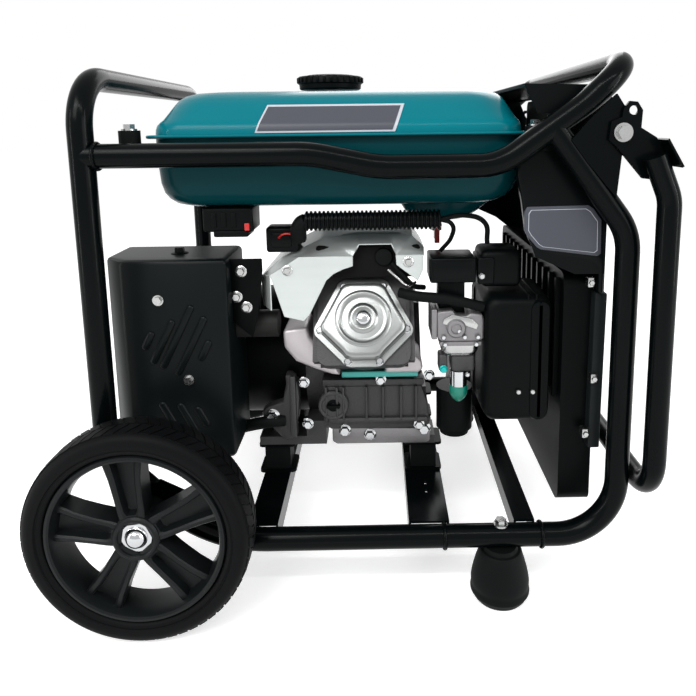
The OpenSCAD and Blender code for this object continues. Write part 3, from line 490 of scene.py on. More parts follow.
def raised(rings):
    """Raises an outline through a list of rings: each extrusion is dragged to the next ring."""
    made = ring(rings[0], True)
    for before, after in zip(rings, rings[1:]):
        bpy.ops.object.mode_set(mode="EDIT")
        if before is rings[0]:
            bpy.ops.mesh.select_all(action="SELECT")
            bpy.ops.mesh.extrude_region()
        else:
            bpy.ops.mesh.extrude_region()
        bpy.ops.object.mode_set(mode="OBJECT")
        left = {i: Vector(p) for i, p in enumerate(before)}
        for v in [v for v in made.data.vertices if v.select]:
            i = min(left, key=lambda k: (left[k] - v.co).length_squared)
            v.co = after[i]
            del left[i]
    return tidy_mesh(made)


def plate(points, depth, edge=0.0, segments=2):
    """A flat outline extruded by the depth vector, its rims rounded."""
    made = ring(points, True)
    bpy.ops.object.mode_set(mode="EDIT")
    bpy.ops.mesh.select_all(action="SELECT")
    bpy.ops.mesh.extrude_region_move(TRANSFORM_OT_translate={"value": depth})
    bpy.ops.object.mode_set(mode="OBJECT")
    tidy_mesh(made)
    return bevelled(made, edge, segments) if edge else made


def block(low, high, edge=0.0, segments=2):
    """A cube primitive stretched between two corners, its edges rounded."""
    low, high = Vector(low), Vector(high)
    clear()
    bpy.ops.mesh.primitive_cube_add(size=1, location=(low + high) / 2)
    made = bpy.context.object
    made.scale = high - low
    bpy.ops.object.transform_apply(location=True, rotation=True, scale=True)
    return bevelled(made, edge, segments) if edge else made


def rounded(x0, x1, y0, y1, r, steps=5):
    """Corner points of a rounded rectangle, anticlockwise, as (x, y) pairs."""
    spots = [(x1 - r, y1 - r, 0), (x0 + r, y1 - r, 90), (x0 + r, y0 + r, 180), (x1 - r, y0 + r, 270)]
    return [
        (
            cx + r * math.cos(math.radians(a + 90 * k / steps)),
            cy + r * math.sin(math.radians(a + 90 * k / steps))
        )
        for cx, cy, a in spots for k in range(steps + 1)
    ]


def pipe(points, radius, name, material, body="frame", steps=10):
    """A hose or wire: a curve through the points with round bends, made a mesh."""
    clear()
    curve = bpy.data.curves.new(name, "CURVE")
    curve.dimensions = "3D"
    curve.bevel_depth = radius
    curve.bevel_resolution = 4
    curve.use_fill_caps = True
    curve.resolution_u = steps
    line = curve.splines.new("BEZIER")
    line.bezier_points.add(len(points) - 1)
    for spot, point in zip(line.bezier_points, points):
        spot.co = point
        spot.handle_left_type = spot.handle_right_type = "AUTO"
    made = bpy.data.objects.new(name, curve)
    scene.collection.objects.link(made)
    only(made)
    bpy.ops.object.convert(target="MESH")
    return settle(bpy.context.object, name, material, body)


def hex_bolt(place, axis, across, height, washer=0.0):
    """A hexagon head on a round flange, pointing along its axis."""
    axis, first, second = axes_of(axis)
    place = Vector(place)
    r = across / 2 / math.cos(math.pi / 6)
    corners = [first * math.cos(k * math.pi / 3) + second * math.sin(k * math.pi / 3) for k in range(6)]
    rings = [[place + c * q + axis * h for c in corners]
             for q, h in ((r, 0), (r, height * 0.8), (r * 0.86, height))]
    head = raised(rings)
    if not washer:
        return head
    flange = turned(
        [(0, -0.0002), (washer, -0.0002), (washer, 0.0008), (washer * 0.8, 0.0018), (0, 0.0018)], place,
        axis, 24
    )
    return joined([head, flange])


print("helpers ready")

# %% [markdown]
# ## Tyres
# A low, solid tyre: a smooth sidewall with a thin rim line, a rounded shoulder and a crown with
# curved, slanted blocks. The carcass is one turned section. One tread block is modelled and
# copied round in two rows; the grooves are simply the gaps between the blocks.

# %% Tyre carcass and tread
tyre_low, tyre_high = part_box("tyre_near")
tyre_r = (tyre_high.z - tyre_low.z) / 2
tyre_half = (tyre_high.y - tyre_low.y) / 2
hub = Vector(((tyre_low.x + tyre_high.x) / 2, (tyre_low.y + tyre_high.y) / 2, tyre_r))
bead_r = tyre_r - 0.028
print("tyre", round(tyre_r * 2, 3), "wide", round(tyre_half * 2, 3))

crown_r = tyre_r - 0.0020
half_section = [
    (bead_r, 0.019), (bead_r + 0.001, 0.0225), (bead_r + 0.0035, 0.0245), (bead_r + 0.0055, 0.0250),
    (bead_r + 0.0062, 0.0245), (bead_r + 0.0075, 0.0246), (bead_r + 0.0085, 0.0262),
    (tyre_r - 0.014, tyre_half - 0.0002), (tyre_r - 0.009, tyre_half - 0.0012),
    (tyre_r - 0.0058, tyre_half - 0.0035), (crown_r - 0.0012, tyre_half - 0.0075),
    (crown_r - 0.0002, tyre_half - 0.012), (crown_r, 0.004),
]
section = half_section + [(r, -h) for r, h in reversed(half_section)]
carcass = turned(section, hub, (0, -1, 0), 120)


def on_crown(angle, across, lift):
    """A point over the tyre's crown: an angle round it, a place across it and a height."""
    drop = max(0.0, abs(across) - 0.012) ** 2 * 22
    r = tyre_r - 0.0008 - drop + lift
    return Vector((hub.x + r * math.cos(angle), hub.y + across, hub.z + r * math.sin(angle)))


blocks_round = 60
step = 2 * math.pi / blocks_round
first_block = []
for side in (-1, 1):
    low_ring, high_ring = [], []
    spots = [(0.0008, 0.0), (0.007, 0.18), (0.013, 0.44), (0.0195, 0.82)]
    outline = [(a, t - 0.415) for a, t in spots] + [(a, t + 0.415) for a, t in reversed(spots)]
    for across, turn in outline:
        angle = math.pi / 2 + side * 0.25 * step + turn * step
        low_ring.append(on_crown(angle, side * across, -0.0038))
        high_ring.append(on_crown(angle, side * across, 0.0))
    first_block.append(raised([low_ring, high_ring]))
tread_block = joined(first_block)
tread = [tread_block]
for k in range(1, blocks_round):
    spin = (
        Matrix.Translation(hub) @ Matrix.Rotation(k * step, 4, "Y") @ Matrix.Translation(-hub)
    )
    tread.append(copy_of(tread_block, spin))
tyre = joined([carcass] + tread)
mirror = Matrix.Scale(-1, 4, (0, 1, 0))
tyre_far = copy_of(tyre, mirror)
tidy_mesh(tyre_far)
settle(tyre, "tyre_near_tread", tyre_rubber, "wheel_near", "tyre_near", angle=40)
settle(tyre_far, "tyre_far_tread", tyre_rubber, "wheel_far", "tyre_far", angle=40)
print("tyre faces", len(tyre.data.polygons))

# %% [markdown]
# ## Wheels
# The wheel is a painted casting: a turned barrel with a lip, a hub with a recess, and five
# broad spokes. Each spoke is an outline that widens towards the barrel, extruded, then its
# outer face is inset and pushed in, which leaves two ribs beside a round-ended groove.

# %% Wheel barrel, hub and spokes
lip_r = bead_r - 0.0004
barrel = turned(
    [
        (lip_r, 0.0205), (lip_r - 0.0015, 0.0232), (lip_r - 0.0045, 0.0238), (lip_r - 0.0068, 0.0225),
        (lip_r - 0.0085, 0.0180), (lip_r - 0.0100, 0.0080), (lip_r - 0.0105, -0.0080),
        (lip_r - 0.0080, -0.0215), (lip_r - 0.001, -0.0232), (lip_r, -0.0190),
    ],
    hub, (0, -1, 0), 96
)
hub_body = turned(
    [
        (0.0081, -0.0262), (0.0265, -0.0262), (0.0275, -0.0180), (0.0275, 0.0150), (0.0268, 0.0190),
        (0.0248, 0.0212), (0.0222, 0.0216), (0.0206, 0.0205), (0.0198, 0.0160), (0.0196, 0.0134),
        (0.0081, 0.0134),
    ],
    hub, (0, -1, 0), 64
)


def spoke_point(along, across, height, angle):
    """A point of a spoke: distance from the hub, to its side, and outwards from the wheel."""
    c, s = math.cos(angle), math.sin(angle)
    return hub + Vector((along * c - across * s, -height, along * s + across * c))


spoke_edge = [
    (0.016, -0.0135), (0.030, -0.0152), (0.050, -0.0162), (0.072, -0.0185), (0.0955, -0.0235),
    (0.0968, -0.012), (0.0975, 0.0), (0.0968, 0.012),
    (0.0955, 0.0235), (0.072, 0.0185), (0.050, 0.0162), (0.030, 0.0152), (0.016, 0.0135),
]
groove_edge = [
    (0.0300, -0.0040), (0.0330, -0.0066), (0.0480, -0.0082), (0.0700, -0.0096), (0.0915, -0.0125),
    (0.0935, -0.006), (0.0940, 0.0), (0.0935, 0.006),
    (0.0915, 0.0125), (0.0700, 0.0096), (0.0480, 0.0082), (0.0330, 0.0066), (0.0300, 0.0040),
]


def crown_of(along):
    """The spoke's outer face dips from the hub towards the barrel."""
    return 0.0178 - 0.0035 * ((along - 0.03) / 0.065) ** 2


def between(a, b, t):
    return (a[0] + (b[0] - a[0]) * t, a[1] + (b[1] - a[1]) * t)


one_spoke_rings = []
for outline, height in (
    (spoke_edge, -0.0100), (spoke_edge, None),
    ([between(a, b, 0.16) for a, b in zip(spoke_edge, groove_edge)], 0.0016),
    ([between(a, b, 0.62) for a, b in zip(spoke_edge, groove_edge)], 0.0020),
    ([between(a, b, 0.86) for a, b in zip(spoke_edge, groove_edge)], 0.0002), (groove_edge, -0.0090),
    ([between(g, (0.062, 0.0), 0.08) for g in groove_edge], -0.0102),
):
    one_spoke_rings.append(
        [
            (a, w, height if height == -0.0100 else crown_of(a) + (height or 0.0) - 0.0012) for a,
            w in outline
        ]
    )
spokes = []
for k in range(5):
    turn = math.radians(97 + 72 * k)
    spokes.append(raised([[spoke_point(a, w, h, turn) for a, w, h in r] for r in one_spoke_rings]))
rim = joined([barrel, hub_body] + spokes)
rim_far = copy_of(rim, mirror)
tidy_mesh(rim_far)
settle(rim, "rim_near_cast", wheel_paint, "wheel_near", "rim_near", angle=32)
settle(rim_far, "rim_far_cast", wheel_paint, "wheel_far", "rim_far", angle=32)
print("rim faces", len(rim.data.polygons))

# %% [markdown]
# ## Hub caps
# A chrome washer lies in the hub's recess, and a domed cap nut sits on it with a thin rim.

# %% Washer and domed cap
cap_low, cap_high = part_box("hub_caps")
for side in (-1, 1):
    out = Vector((0, side, 0))
    face = Vector((hub.x, side * cap_high.y, hub.z)) - out * 0.0125
    washer = turned(
        [(0.0083, 0.0), (0.0182, 0.0), (0.0182, 0.0016), (0.0174, 0.0026), (0.0083, 0.0028)], face, out,
        48
    )
    dome = turned([(0.0, 0.0026), (0.0128, 0.0026), (0.0130, 0.0034), (0.0118, 0.0042), (0.0112, 0.0058),
                   (0.0098, 0.0086), (0.0070, 0.0108), (0.0036, 0.0120), (0.0, 0.0123)], face, out, 48)
    both = joined([washer, dome])
    settle(
        both, "hub_cap_near" if side < 0 else "hub_cap_far", chrome, "frame", slot="cap_chrome", angle=40
    )
    if side < 0:
        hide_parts("hub_caps")
print("hub caps ready")

# %% [markdown]
# ## Rubber feet
# Each foot is moulded rubber: a narrow neck under the rail, a rounded belly and a raised lip
# just above the ground. A closed section turned round the vertical gives all of it at once.

# %% Feet
feet_low, feet_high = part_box("rubber_feet")
foot_r = (feet_high.x - feet_low.x) / 2
foot_x = (feet_high.x + feet_low.x) / 2
for side in (-1, 1):
    at = Vector((foot_x, side * (feet_high.y - foot_r), 0))
    foot = turned(
        [
            (0, 0.0), (foot_r - 0.0095, 0.0), (foot_r - 0.0060, 0.0012), (foot_r - 0.0036, 0.0042),
            (foot_r - 0.0022, 0.0082), (foot_r - 0.0002, 0.0102), (foot_r, 0.0122),
            (foot_r - 0.0008, 0.0146), (foot_r - 0.0016, 0.0168), (foot_r - 0.0009, 0.0200),
            (foot_r - 0.0008, 0.0250), (foot_r - 0.0016, 0.0310), (foot_r - 0.0036, 0.0400),
            (foot_r - 0.0064, 0.0500), (foot_r - 0.0090, 0.0580), (foot_r - 0.0102, 0.0625),
            (foot_r - 0.0118, 0.0648), (foot_r - 0.0150, 0.0655), (foot_r - 0.0170, 0.0700), (0, 0.0700),
        ],
        at, (0, 0, 1), 72
    )
    settle(foot, "foot_near" if side < 0 else "foot_far", rubber, "frame", slot="rubber_black", angle=38)
    if side < 0:
        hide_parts("rubber_feet")
print("feet", round(foot_r * 2, 3), "across")

# %% [markdown]
# ## Fuel tank
# Two pressed steel shells meet at a welded flange. A pressed shell has soft, wide corners, so
# each one is raised through a stack of rounded rectangles, close together where the metal turns.

# %% Upper shell
up_low, up_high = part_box("tank_upper")
seam = up_low.z
tank_top = up_high.z - 0.007


def tank_ring(z, x0, x1, y, r):
    """A rounded rectangle at a height, measured inwards from the flange's edge."""
    return [
        Vector((px, py, z)) for px,
        py in rounded(up_low.x + x0, up_high.x - x1, -up_high.y + y, up_high.y - y, r, 8)
    ]


upper_steps = [
    (0.002, 0.0080, 0.0070, 0.0080, 0.034), (0.008, 0.0084, 0.0074, 0.0084, 0.034),
    (0.013, 0.0095, 0.0085, 0.0098, 0.035), (0.0165, 0.0118, 0.0108, 0.0125, 0.036),
    (0.020, 0.0150, 0.0132, 0.0165, 0.037), (0.028, 0.0190, 0.0170, 0.0250, 0.038),
    (0.037, 0.0230, 0.0205, 0.0345, 0.040), (0.044, 0.0262, 0.0235, 0.0430, 0.042),
    (0.0495, 0.0320, 0.0290, 0.0540, 0.044), (0.053, 0.0400, 0.0370, 0.0680, 0.046),
    (0.0547, 0.0500, 0.0480, 0.0860, 0.048), (0.055, 0.0640, 0.0620, 0.1020, 0.048),
]
flange_rings = [
    tank_ring(seam, 0, 0, 0, 0.030), tank_ring(seam + 0.0012, 0, 0, 0, 0.030),
    tank_ring(seam + 0.002, 0.0012, 0.0012, 0.0012, 0.029)
]
upper = raised(flange_rings + [tank_ring(seam + z, a, b, c, r) for z, a, b, c, r in upper_steps])
settle(upper, "tank_upper_shell", tank_enamel, "frame", "tank_upper", angle=50)

# %% Lower shell with its sump
down_low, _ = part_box("tank_lower")
lower_steps = [
    (-0.002, 0.0080, 0.0070, 0.0080, 0.034), (-0.030, 0.0084, 0.0084, 0.0086, 0.034),
    (-0.056, 0.0100, 0.0108, 0.0105, 0.035), (-0.068, 0.0120, 0.0145, 0.0140, 0.037),
    (-0.076, 0.0160, 0.0205, 0.0195, 0.038), (-0.082, 0.0215, 0.0285, 0.0265, 0.040),
    (-0.0855, 0.0300, 0.0390, 0.0370, 0.040), (-0.086, 0.0420, 0.0520, 0.0500, 0.040),
]
lower_flange = [
    tank_ring(seam, 0, 0, 0, 0.030), tank_ring(seam - 0.0012, 0, 0, 0, 0.030),
    tank_ring(seam - 0.002, 0.0012, 0.0012, 0.0012, 0.029)
]
shell = raised(lower_flange + [tank_ring(seam + z, a, b, c, r) for z, a, b, c, r in lower_steps])
sump_top = up_low.x + 0.300
sump_steps = [
    (-0.080, 0.0, 0.128, 0.172, 0.034), (-0.088, 0.004, 0.118, 0.168, 0.034),
    (-0.098, 0.010, 0.108, 0.162, 0.033), (-0.106, 0.016, 0.098, 0.155, 0.032),
    (-0.1105, 0.023, 0.090, 0.147, 0.030), (-0.112, 0.033, 0.080, 0.137, 0.026)
]
sump = raised([
    [Vector((px, py, seam + z)) for px, py in rounded(sump_top + a, sump_top + b, -c, c, r, 8)]
    for z, a, b, c, r in sump_steps])
lower = joined([shell, sump])
# Its darker teal is painted shade.
settle(lower, "tank_lower_shell", teal_painted_shade, "frame", "tank_lower", angle=50)
print("tank from", round(down_low.z, 3), "to", round(tank_top, 3))

# %% [markdown]
# A blank plate is bonded to the shell's shoulder, where a maker would put a name. It follows
# the metal, so it is a grid whose every point is laid on the shell and lifted by a millimetre.


# %% Curved blank plate
def laid_grid(across, along, place, thickness):
    """A grid primitive laid on a surface by a function of two shares, then given a thickness."""
    clear()
    bpy.ops.mesh.primitive_grid_add(x_subdivisions=across, y_subdivisions=along, size=2)
    made = bpy.context.object
    for v in made.data.vertices:
        v.co = place((v.co.x + 1) / 2, (v.co.y + 1) / 2)
    only(made)
    wall = made.modifiers.new("wall", "SOLIDIFY")
    wall.thickness = thickness
    wall.offset = 0
    bpy.ops.object.modifier_apply(modifier=wall.name)
    return tidy_mesh(made)


def shoulder(z):
    """How far the shell's near side stands from the middle at a height over the seam."""
    for (z0, _, _, c0, _), (z1, _, _, c1, _) in zip(upper_steps, upper_steps[1:]):
        if z <= z1:
            return up_high.y - (c0 + (c1 - c0) * (z - z0) / (z1 - z0))
    return 0.0


def on_shoulder(u, v, x0, x1, z0, z1, lean, lift):
    z = z0 + (z1 - z0) * v
    return Vector((x0 + (x1 - x0) * u + lean * v, -shoulder(z) - lift, seam + z))


plate_x0, plate_x1 = up_low.x + 0.133, up_low.x + 0.297
border = laid_grid(
    16, 12, lambda u, v: on_shoulder(u, v, plate_x0, plate_x1, 0.0035, 0.0360, 0.012, 0.0006), 0.0010
)
settle(border, "tank_plate_border", plate_edge, "frame", angle=40)
face = laid_grid(
    16, 12, lambda u,
    v: on_shoulder(u, v, plate_x0 + 0.003, plate_x1 - 0.003, 0.0058, 0.0338, 0.0105, 0.0013), 0.0008
)
settle(face, "tank_plate_face", plate_grey, "frame", angle=40)

# %% [markdown]
# ## Fuel cap
# A ribbed plastic cap: a turned body with a stepped top, and a ring of small grips.

# %% Cap
cap_low, cap_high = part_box("fuel_cap")
cap_r = (cap_high.x - cap_low.x) / 2
cap_at = Vector(((cap_low.x + cap_high.x) / 2, (cap_low.y + cap_high.y) / 2, cap_low.z))
cap_h = cap_high.z - cap_low.z
cap_body = turned([
    (0, 0), (cap_r - 0.006, 0), (cap_r - 0.004, 0.0015), (cap_r - 0.0035, 0.0075), (cap_r - 0.0016, 0.0088),
    (cap_r - 0.0016, 0.0168), (cap_r - 0.0030, 0.0186), (cap_r - 0.0075, 0.0192), (cap_r - 0.0110, 0.0184),
    (cap_r - 0.0130, 0.0188), (cap_r - 0.0150, cap_h - 0.0004), (cap_r - 0.0200, cap_h), (0, cap_h),
], cap_at, (0, 0, 1), 72)
grips = []
first_grip = block(
    cap_at + Vector((cap_r - 0.004, -0.0022, 0.0094)), cap_at + Vector((cap_r - 0.0001, 0.0022, 0.0172)),
    0.0010
)
grips.append(first_grip)
for k in range(1, 30):
    grips.append(
        copy_of(
            first_grip,
            Matrix.Translation(cap_at) @ Matrix.Rotation(
                math.radians(12 * k), 4, "Z"
            ) @ Matrix.Translation(-cap_at)
        )
    )
cap = joined([cap_body] + grips)
settle(cap, "fuel_cap_ribbed", plastic, "fuel_cap", "fuel_cap", angle=40)
print("cap", round(cap_r * 2, 3))

# %% [markdown]
# ## Rocker cover
# The pressed aluminium cover faces up and outwards on the tilted cylinder. We work in the
# cylinder's own directions: across, along its face, and out. A flat flange comes first, then a
# raised body with a soft rim, then a turned dish with a domed bolt in its middle.

# %% The cylinder's own directions
tilt = math.radians(28.5)
out = Vector((0, -math.cos(tilt), math.sin(tilt)))
along = Vector((0, math.sin(tilt), math.cos(tilt)))
across = Vector((1, 0, 0))
shroud_low, shroud_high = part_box("cylinder_head")
engine_x = (shroud_low.x + shroud_high.x) / 2
crank = Vector((engine_x, 0.010, 0.245))


def on_engine(x, y, s):
    """A point from the cylinder's axis: across, along the face, and out from the crankshaft."""
    return crank + across * x + along * y + out * s


def six_sided(inset, s, scale=0.001):
    """The rocker cover's outline, a rounded hexagon, drawn in by the inset."""
    corners = [(50, -12), (22, 41), (-22, 41), (-50, -12), (-16, -45), (16, -45)]
    starts = [-28, 17, 90, 163, 208, 270]
    ends = [17, 90, 163, 208, 270, 332]
    r = 14.0
    shrink = 1 - inset / 60
    points = []
    for (cx, cy), a0, a1 in zip(corners, starts, ends):
        for k in range(6):
            a = math.radians(a0 + (a1 - a0) * k / 5)
            points.append(
                on_engine(
                    (cx * shrink + r * math.cos(a)) * scale, (cy * shrink + r * math.sin(a)) * scale, s
                )
            )
    return points


# %% Flange, body, dish and bolt
cover_s = 0.194
cover = raised(
    [
        six_sided(0.4, cover_s), six_sided(0, cover_s + 0.0006), six_sided(0, cover_s + 0.0042),
        six_sided(0.8, cover_s + 0.0050), six_sided(9.5, cover_s + 0.0052),
        six_sided(10.6, cover_s + 0.0062), six_sided(11.2, cover_s + 0.0120),
        six_sided(12.2, cover_s + 0.0170), six_sided(14.0, cover_s + 0.0200),
        six_sided(17.0, cover_s + 0.0214), six_sided(21.0, cover_s + 0.0218),
    ]
)
dish_at = on_engine(0, 0, cover_s)
dish = turned(
    [
        (0, 0.0200), (0.0365, 0.0200), (0.0362, 0.0226), (0.0345, 0.0240), (0.0322, 0.0242),
        (0.0305, 0.0230), (0.0285, 0.0222), (0.0245, 0.0215), (0.0205, 0.0216), (0.0180, 0.0226),
        (0.0166, 0.0240), (0.0150, 0.0246), (0.0128, 0.0244), (0.0120, 0.0238), (0, 0.0238),
    ],
    dish_at, out, 72
)
bolt_dome = turned(
    [
        (0, 0.0236), (0.0096, 0.0236), (0.0096, 0.0262), (0.0082, 0.0282), (0.0060, 0.0290),
        (0.0040, 0.0296), (0, 0.0298)
    ],
    dish_at, out, 40
)
screws = [
    hex_bolt(on_engine(x, y, cover_s + 0.0048), out, 0.0075, 0.0045, 0.0052) for x,
    y in (
        (-0.0555, -0.012), (0.0555, -0.012), (-0.026, 0.0445), (0.026, 0.0445), (-0.02, -0.0525),
        (0.02, -0.0525)
    )
]
settle(cover, "rocker_cover", satin_metal, "frame", "valve_cover", angle=32)
settle(dish, "rocker_cover_dish", satin_metal, "frame", slot="cover_satin", angle=40)
settle(joined([bolt_dome] + screws), "rocker_cover_bolts", chrome, "frame", slot="bolt_steel", angle=40)
print("rocker cover at", [round(v, 3) for v in dish_at])

# %% [markdown]
# ## Silencer guard
# A folded sheet box with a slanted rear corner. Slanted louvres are pressed out of its face so
# that hot air can leave: each one is a long half dome with a dark block beside it, painted shade for the
# slot.

# %% Guard box
guard_low, guard_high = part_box("muffler_guard")
gx0, gy0, gz0 = guard_low.x, guard_low.y + 0.0016, guard_low.z
gx1, gy1, gz1 = guard_high
corner = 0.026


def guard_ring(z, inset):
    """The guard's outline at a height, with its rear corner cut off at a slant and softened."""
    i = inset
    raw = [
        (gx0 + i, gy1), (gx0 + i, gy0 + corner + 0.004), (gx0 + i + 0.0022, gy0 + corner - 0.001),
        (gx0 + i + corner - 0.002, gy0 + i + 0.002), (gx0 + i + corner + 0.004, gy0 + i),
        (gx1 - i - 0.005, gy0 + i), (gx1 - i - 0.0015, gy0 + i + 0.0015), (gx1 - i, gy0 + i + 0.005),
        (gx1 - i, gy1)
    ]
    return [Vector((x, y, z)) for x, y in raw]


guard = raised(
    [
        guard_ring(gz0, 0.006), guard_ring(gz0 + 0.0015, 0.0022), guard_ring(gz0 + 0.005, 0.0),
        guard_ring(gz1 - 0.0055, 0.0), guard_ring(gz1 - 0.002, 0.0016), guard_ring(gz1 - 0.0004, 0.0045),
        guard_ring(gz1, 0.0085),
    ]
)
only(guard)
bpy.ops.object.mode_set(mode="EDIT")
bpy.ops.mesh.select_mode(type="FACE")
bpy.ops.mesh.select_all(action="DESELECT")
bpy.ops.object.mode_set(mode="OBJECT")
for side_face in guard.data.polygons:
    side_face.select = side_face.normal.y > 0.95
bpy.ops.object.mode_set(mode="EDIT")
bpy.ops.mesh.delete(type="FACE")
bpy.ops.mesh.select_mode(type="VERT")
bpy.ops.object.mode_set(mode="OBJECT")
wall = guard.modifiers.new("wall", "SOLIDIFY")
wall.thickness = 0.0014
wall.offset = -1
bpy.ops.object.modifier_apply(modifier=wall.name)
settle(guard, "silencer_guard", guard_paint, "frame", "muffler_guard", angle=30)


# %% Louvres
def louvre(x, z, length, lean, width=0.0095):
    """A pressed half dome on the guard's face, and a dark block along its lower side: painted shade for the
    slot.
    """
    clear()
    bpy.ops.mesh.primitive_uv_sphere_add(segments=24, ring_count=12, radius=1)
    dome = bpy.context.object
    only(dome)
    bpy.ops.object.mode_set(mode="EDIT")
    bpy.ops.mesh.select_all(action="SELECT")
    bpy.ops.mesh.bisect(plane_co=(0, 0, 0), plane_no=(0, 1, 0), use_fill=True, clear_outer=True)
    bpy.ops.object.mode_set(mode="OBJECT")
    r = width / 2
    for v in dome.data.vertices:
        v.co.z = v.co.z * r + math.copysign(length / 2 - r, v.co.z) if abs(v.co.z) > 0.01 else 0.0
        v.co.x *= r
        v.co.y *= 0.0030
    turn = Matrix.Translation((x, gy0 - 0.0001, z)) @ Matrix.Rotation(math.radians(lean), 4, "Y")
    dome.data.transform(turn)
    slot_piece = block(
        (r * 0.35, -0.0004, -length / 2 + 0.004), (r * 1.05, 0.0006, length / 2 - 0.004), 0.0002, 1
    )
    slot_piece.data.transform(turn)
    return dome, slot_piece


domes, slots = [], []
for x, z, length, lean in (
    (0.056, 0.160, 0.026, 27), (0.074, 0.158, 0.064, 27), (0.092, 0.164, 0.092, 27),
    (0.109, 0.152, 0.086, 27), (0.126, 0.146, 0.030, 27), (0.062, 0.036, 0.026, -27),
    (0.080, 0.052, 0.060, -27), (0.100, 0.056, 0.046, -27), (0.118, 0.058, 0.030, -27),
):
    d, s = louvre(gx0 + x, gz0 + z, length, lean)
    domes.append(d)
    slots.append(s)
settle(joined(domes), "guard_louvres", guard_paint, "frame", slot="guard_black", angle=50)
settle(joined(slots), "guard_slots", painted_shade, "frame", angle=50)
print("silencer guard ready")

# %% [markdown]
# ## Cylinder and its cowl
# Behind the rocker cover a pressed cowl guides cooling air over the cylinder. Each half is an
# outline extruded backwards with soft edges. The head's fins show between cover and cowl.


# %% Cowl and gasket
def outline(points, y, origin):
    """Points given as millimetres right of and above an origin, standing in one upright plane."""
    return [Vector((origin.x + x / 1000, y, origin.z + z / 1000)) for x, z in points]


def screws_at(points, y, origin, across_flats, height, washer=0.0):
    """Hexagon bolts that face the engine's side, at millimetre places from an origin."""
    return joined(
        [hex_bolt(p, (0, -1, 0), across_flats, height, washer) for p in outline(points, y, origin)]
    )


cowl_low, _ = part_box("cylinder_shroud")
cowl_y = cowl_low.y + 0.013
left_half = plate(
    outline(
        [
            (-107, 78), (-75, 82), (-72, 69), (-57, 49), (-49, 43), (-32, 14), (-44, 16), (-64, 23),
            (-91, 35), (-106, 54)
        ],
        cowl_y, crank
    ),
    (0, 0.07, 0), 0.0045, 3
)
right_half = plate(
    outline([(44, 58), (58, 50), (76, 33), (78, 22), (72, 16), (26, 17), (30, 40)], cowl_y, crank),
    (0, 0.07, 0), 0.0045, 3
)
settle(joined([left_half, right_half]), "cylinder_cowl", cowl_grey, "frame", "cylinder_shroud", angle=40)
gasket = block(
    (engine_x - 0.032, -0.137, crank.z + 0.006), (engine_x + 0.072, -0.080, crank.z + 0.0145), 0.0015
)
settle(
    gasket, "cylinder_foot", finish("greenish cast", (0.05, 0.30, 0.27), 0.35, 0.5, 0.3, 20, 600, 0.3),
    "frame", slot="engine_cast"
)

# %% [markdown]
# ## Crankcase front
# The near side of the crankcase is a cast cover: a machined flange on top, a face with upright
# ribs, a ledge, and a pale foot. Bolts with round flanges hold it, and one closes the drain.

# %% Cast cover, ribs and feet
case_low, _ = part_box("crankcase")
case_y = case_low.y
flange = block(
    (engine_x - 0.060, case_y - 0.004, crank.z - 0.014),
    (engine_x + 0.081, case_y + 0.030, crank.z - 0.004), 0.002
)
panel_face = plate(
    outline(
        [(-56, -14), (78, -14), (86, -40), (90, -72), (78, -78), (-50, -78), (-60, -66), (-60, -30)],
        case_y - 0.0025, crank
    ),
    (0, 0.014, 0), 0.003
)
ledge = block(
    (engine_x - 0.052, case_y - 0.0075, crank.z - 0.066),
    (engine_x + 0.086, case_y + 0.006, crank.z - 0.059), 0.002
)
ribs = [
    block(
        (engine_x + x - 0.0017, case_y - 0.0085, crank.z - 0.062),
        (engine_x + x + 0.0017, case_y, crank.z - 0.013), 0.0012
    )
    for x in (-0.055, -0.040, -0.031, 0.001, 0.024, 0.049, 0.070)
]
boss = turned(
    [
        (0, 0), (0.021, 0), (0.021, 0.007), (0.0195, 0.0085), (0.0165, 0.0085), (0.0155, 0.0070),
        (0, 0.0070)
    ],
    Vector((-0.028, case_y, 0.205)), (0, -1, 0), 40
)
settle(
    joined([flange, panel_face, ledge, boss] + ribs), "crankcase_cover", cast_grey, "frame",
    slot="engine_cast", angle=38
)
foot_plate = plate(
    outline(
        [(-48, -76), (90, -79), (90, -98), (84, -101), (-42, -101), (-48, -97)], case_y - 0.001, crank
    ),
    (0, 0.016, 0), 0.0025
)
settle(foot_plate, "engine_foot_bar", cast_light, "frame", slot="engine_cast", angle=38)
bracket = plate(
    outline(
        [
            (-112, 2), (-103, 2), (-95, -8), (-93, -30), (-95, -62), (-104, -93), (-116, -95),
            (-128, -80), (-144, -64), (-146, -51), (-136, -44), (-117, -38), (-111, -12)
        ],
        case_y + 0.001, crank
    ),
    (0, 0.020, 0), 0.003
)
rail = block(
    (engine_x - 0.1055, case_y - 0.005, crank.z - 0.088),
    (engine_x - 0.097, case_y + 0.012, crank.z + 0.002), 0.002
)
settle(joined([bracket, rail]), "engine_bracket", cast_grey, "frame", slot="engine_cast", angle=38)
case_bolts = screws_at(
    [(-85, -6), (21, -4), (88, 2), (-81, -67), (74, -70)], case_y - 0.005, crank, 0.010, 0.006, 0.0078
)
drain = screws_at([(5, -86), (-30, -79)], case_y - 0.002, crank, 0.012, 0.007, 0.0085)
foot_bolt = screws_at([(-131, -57), (81, -79)], case_y + 0.001, crank, 0.013, 0.008, 0.010)
settle(
    joined([case_bolts, drain, foot_bolt]), "crankcase_bolts", chrome, "frame", slot="bolt_steel",
    angle=38
)

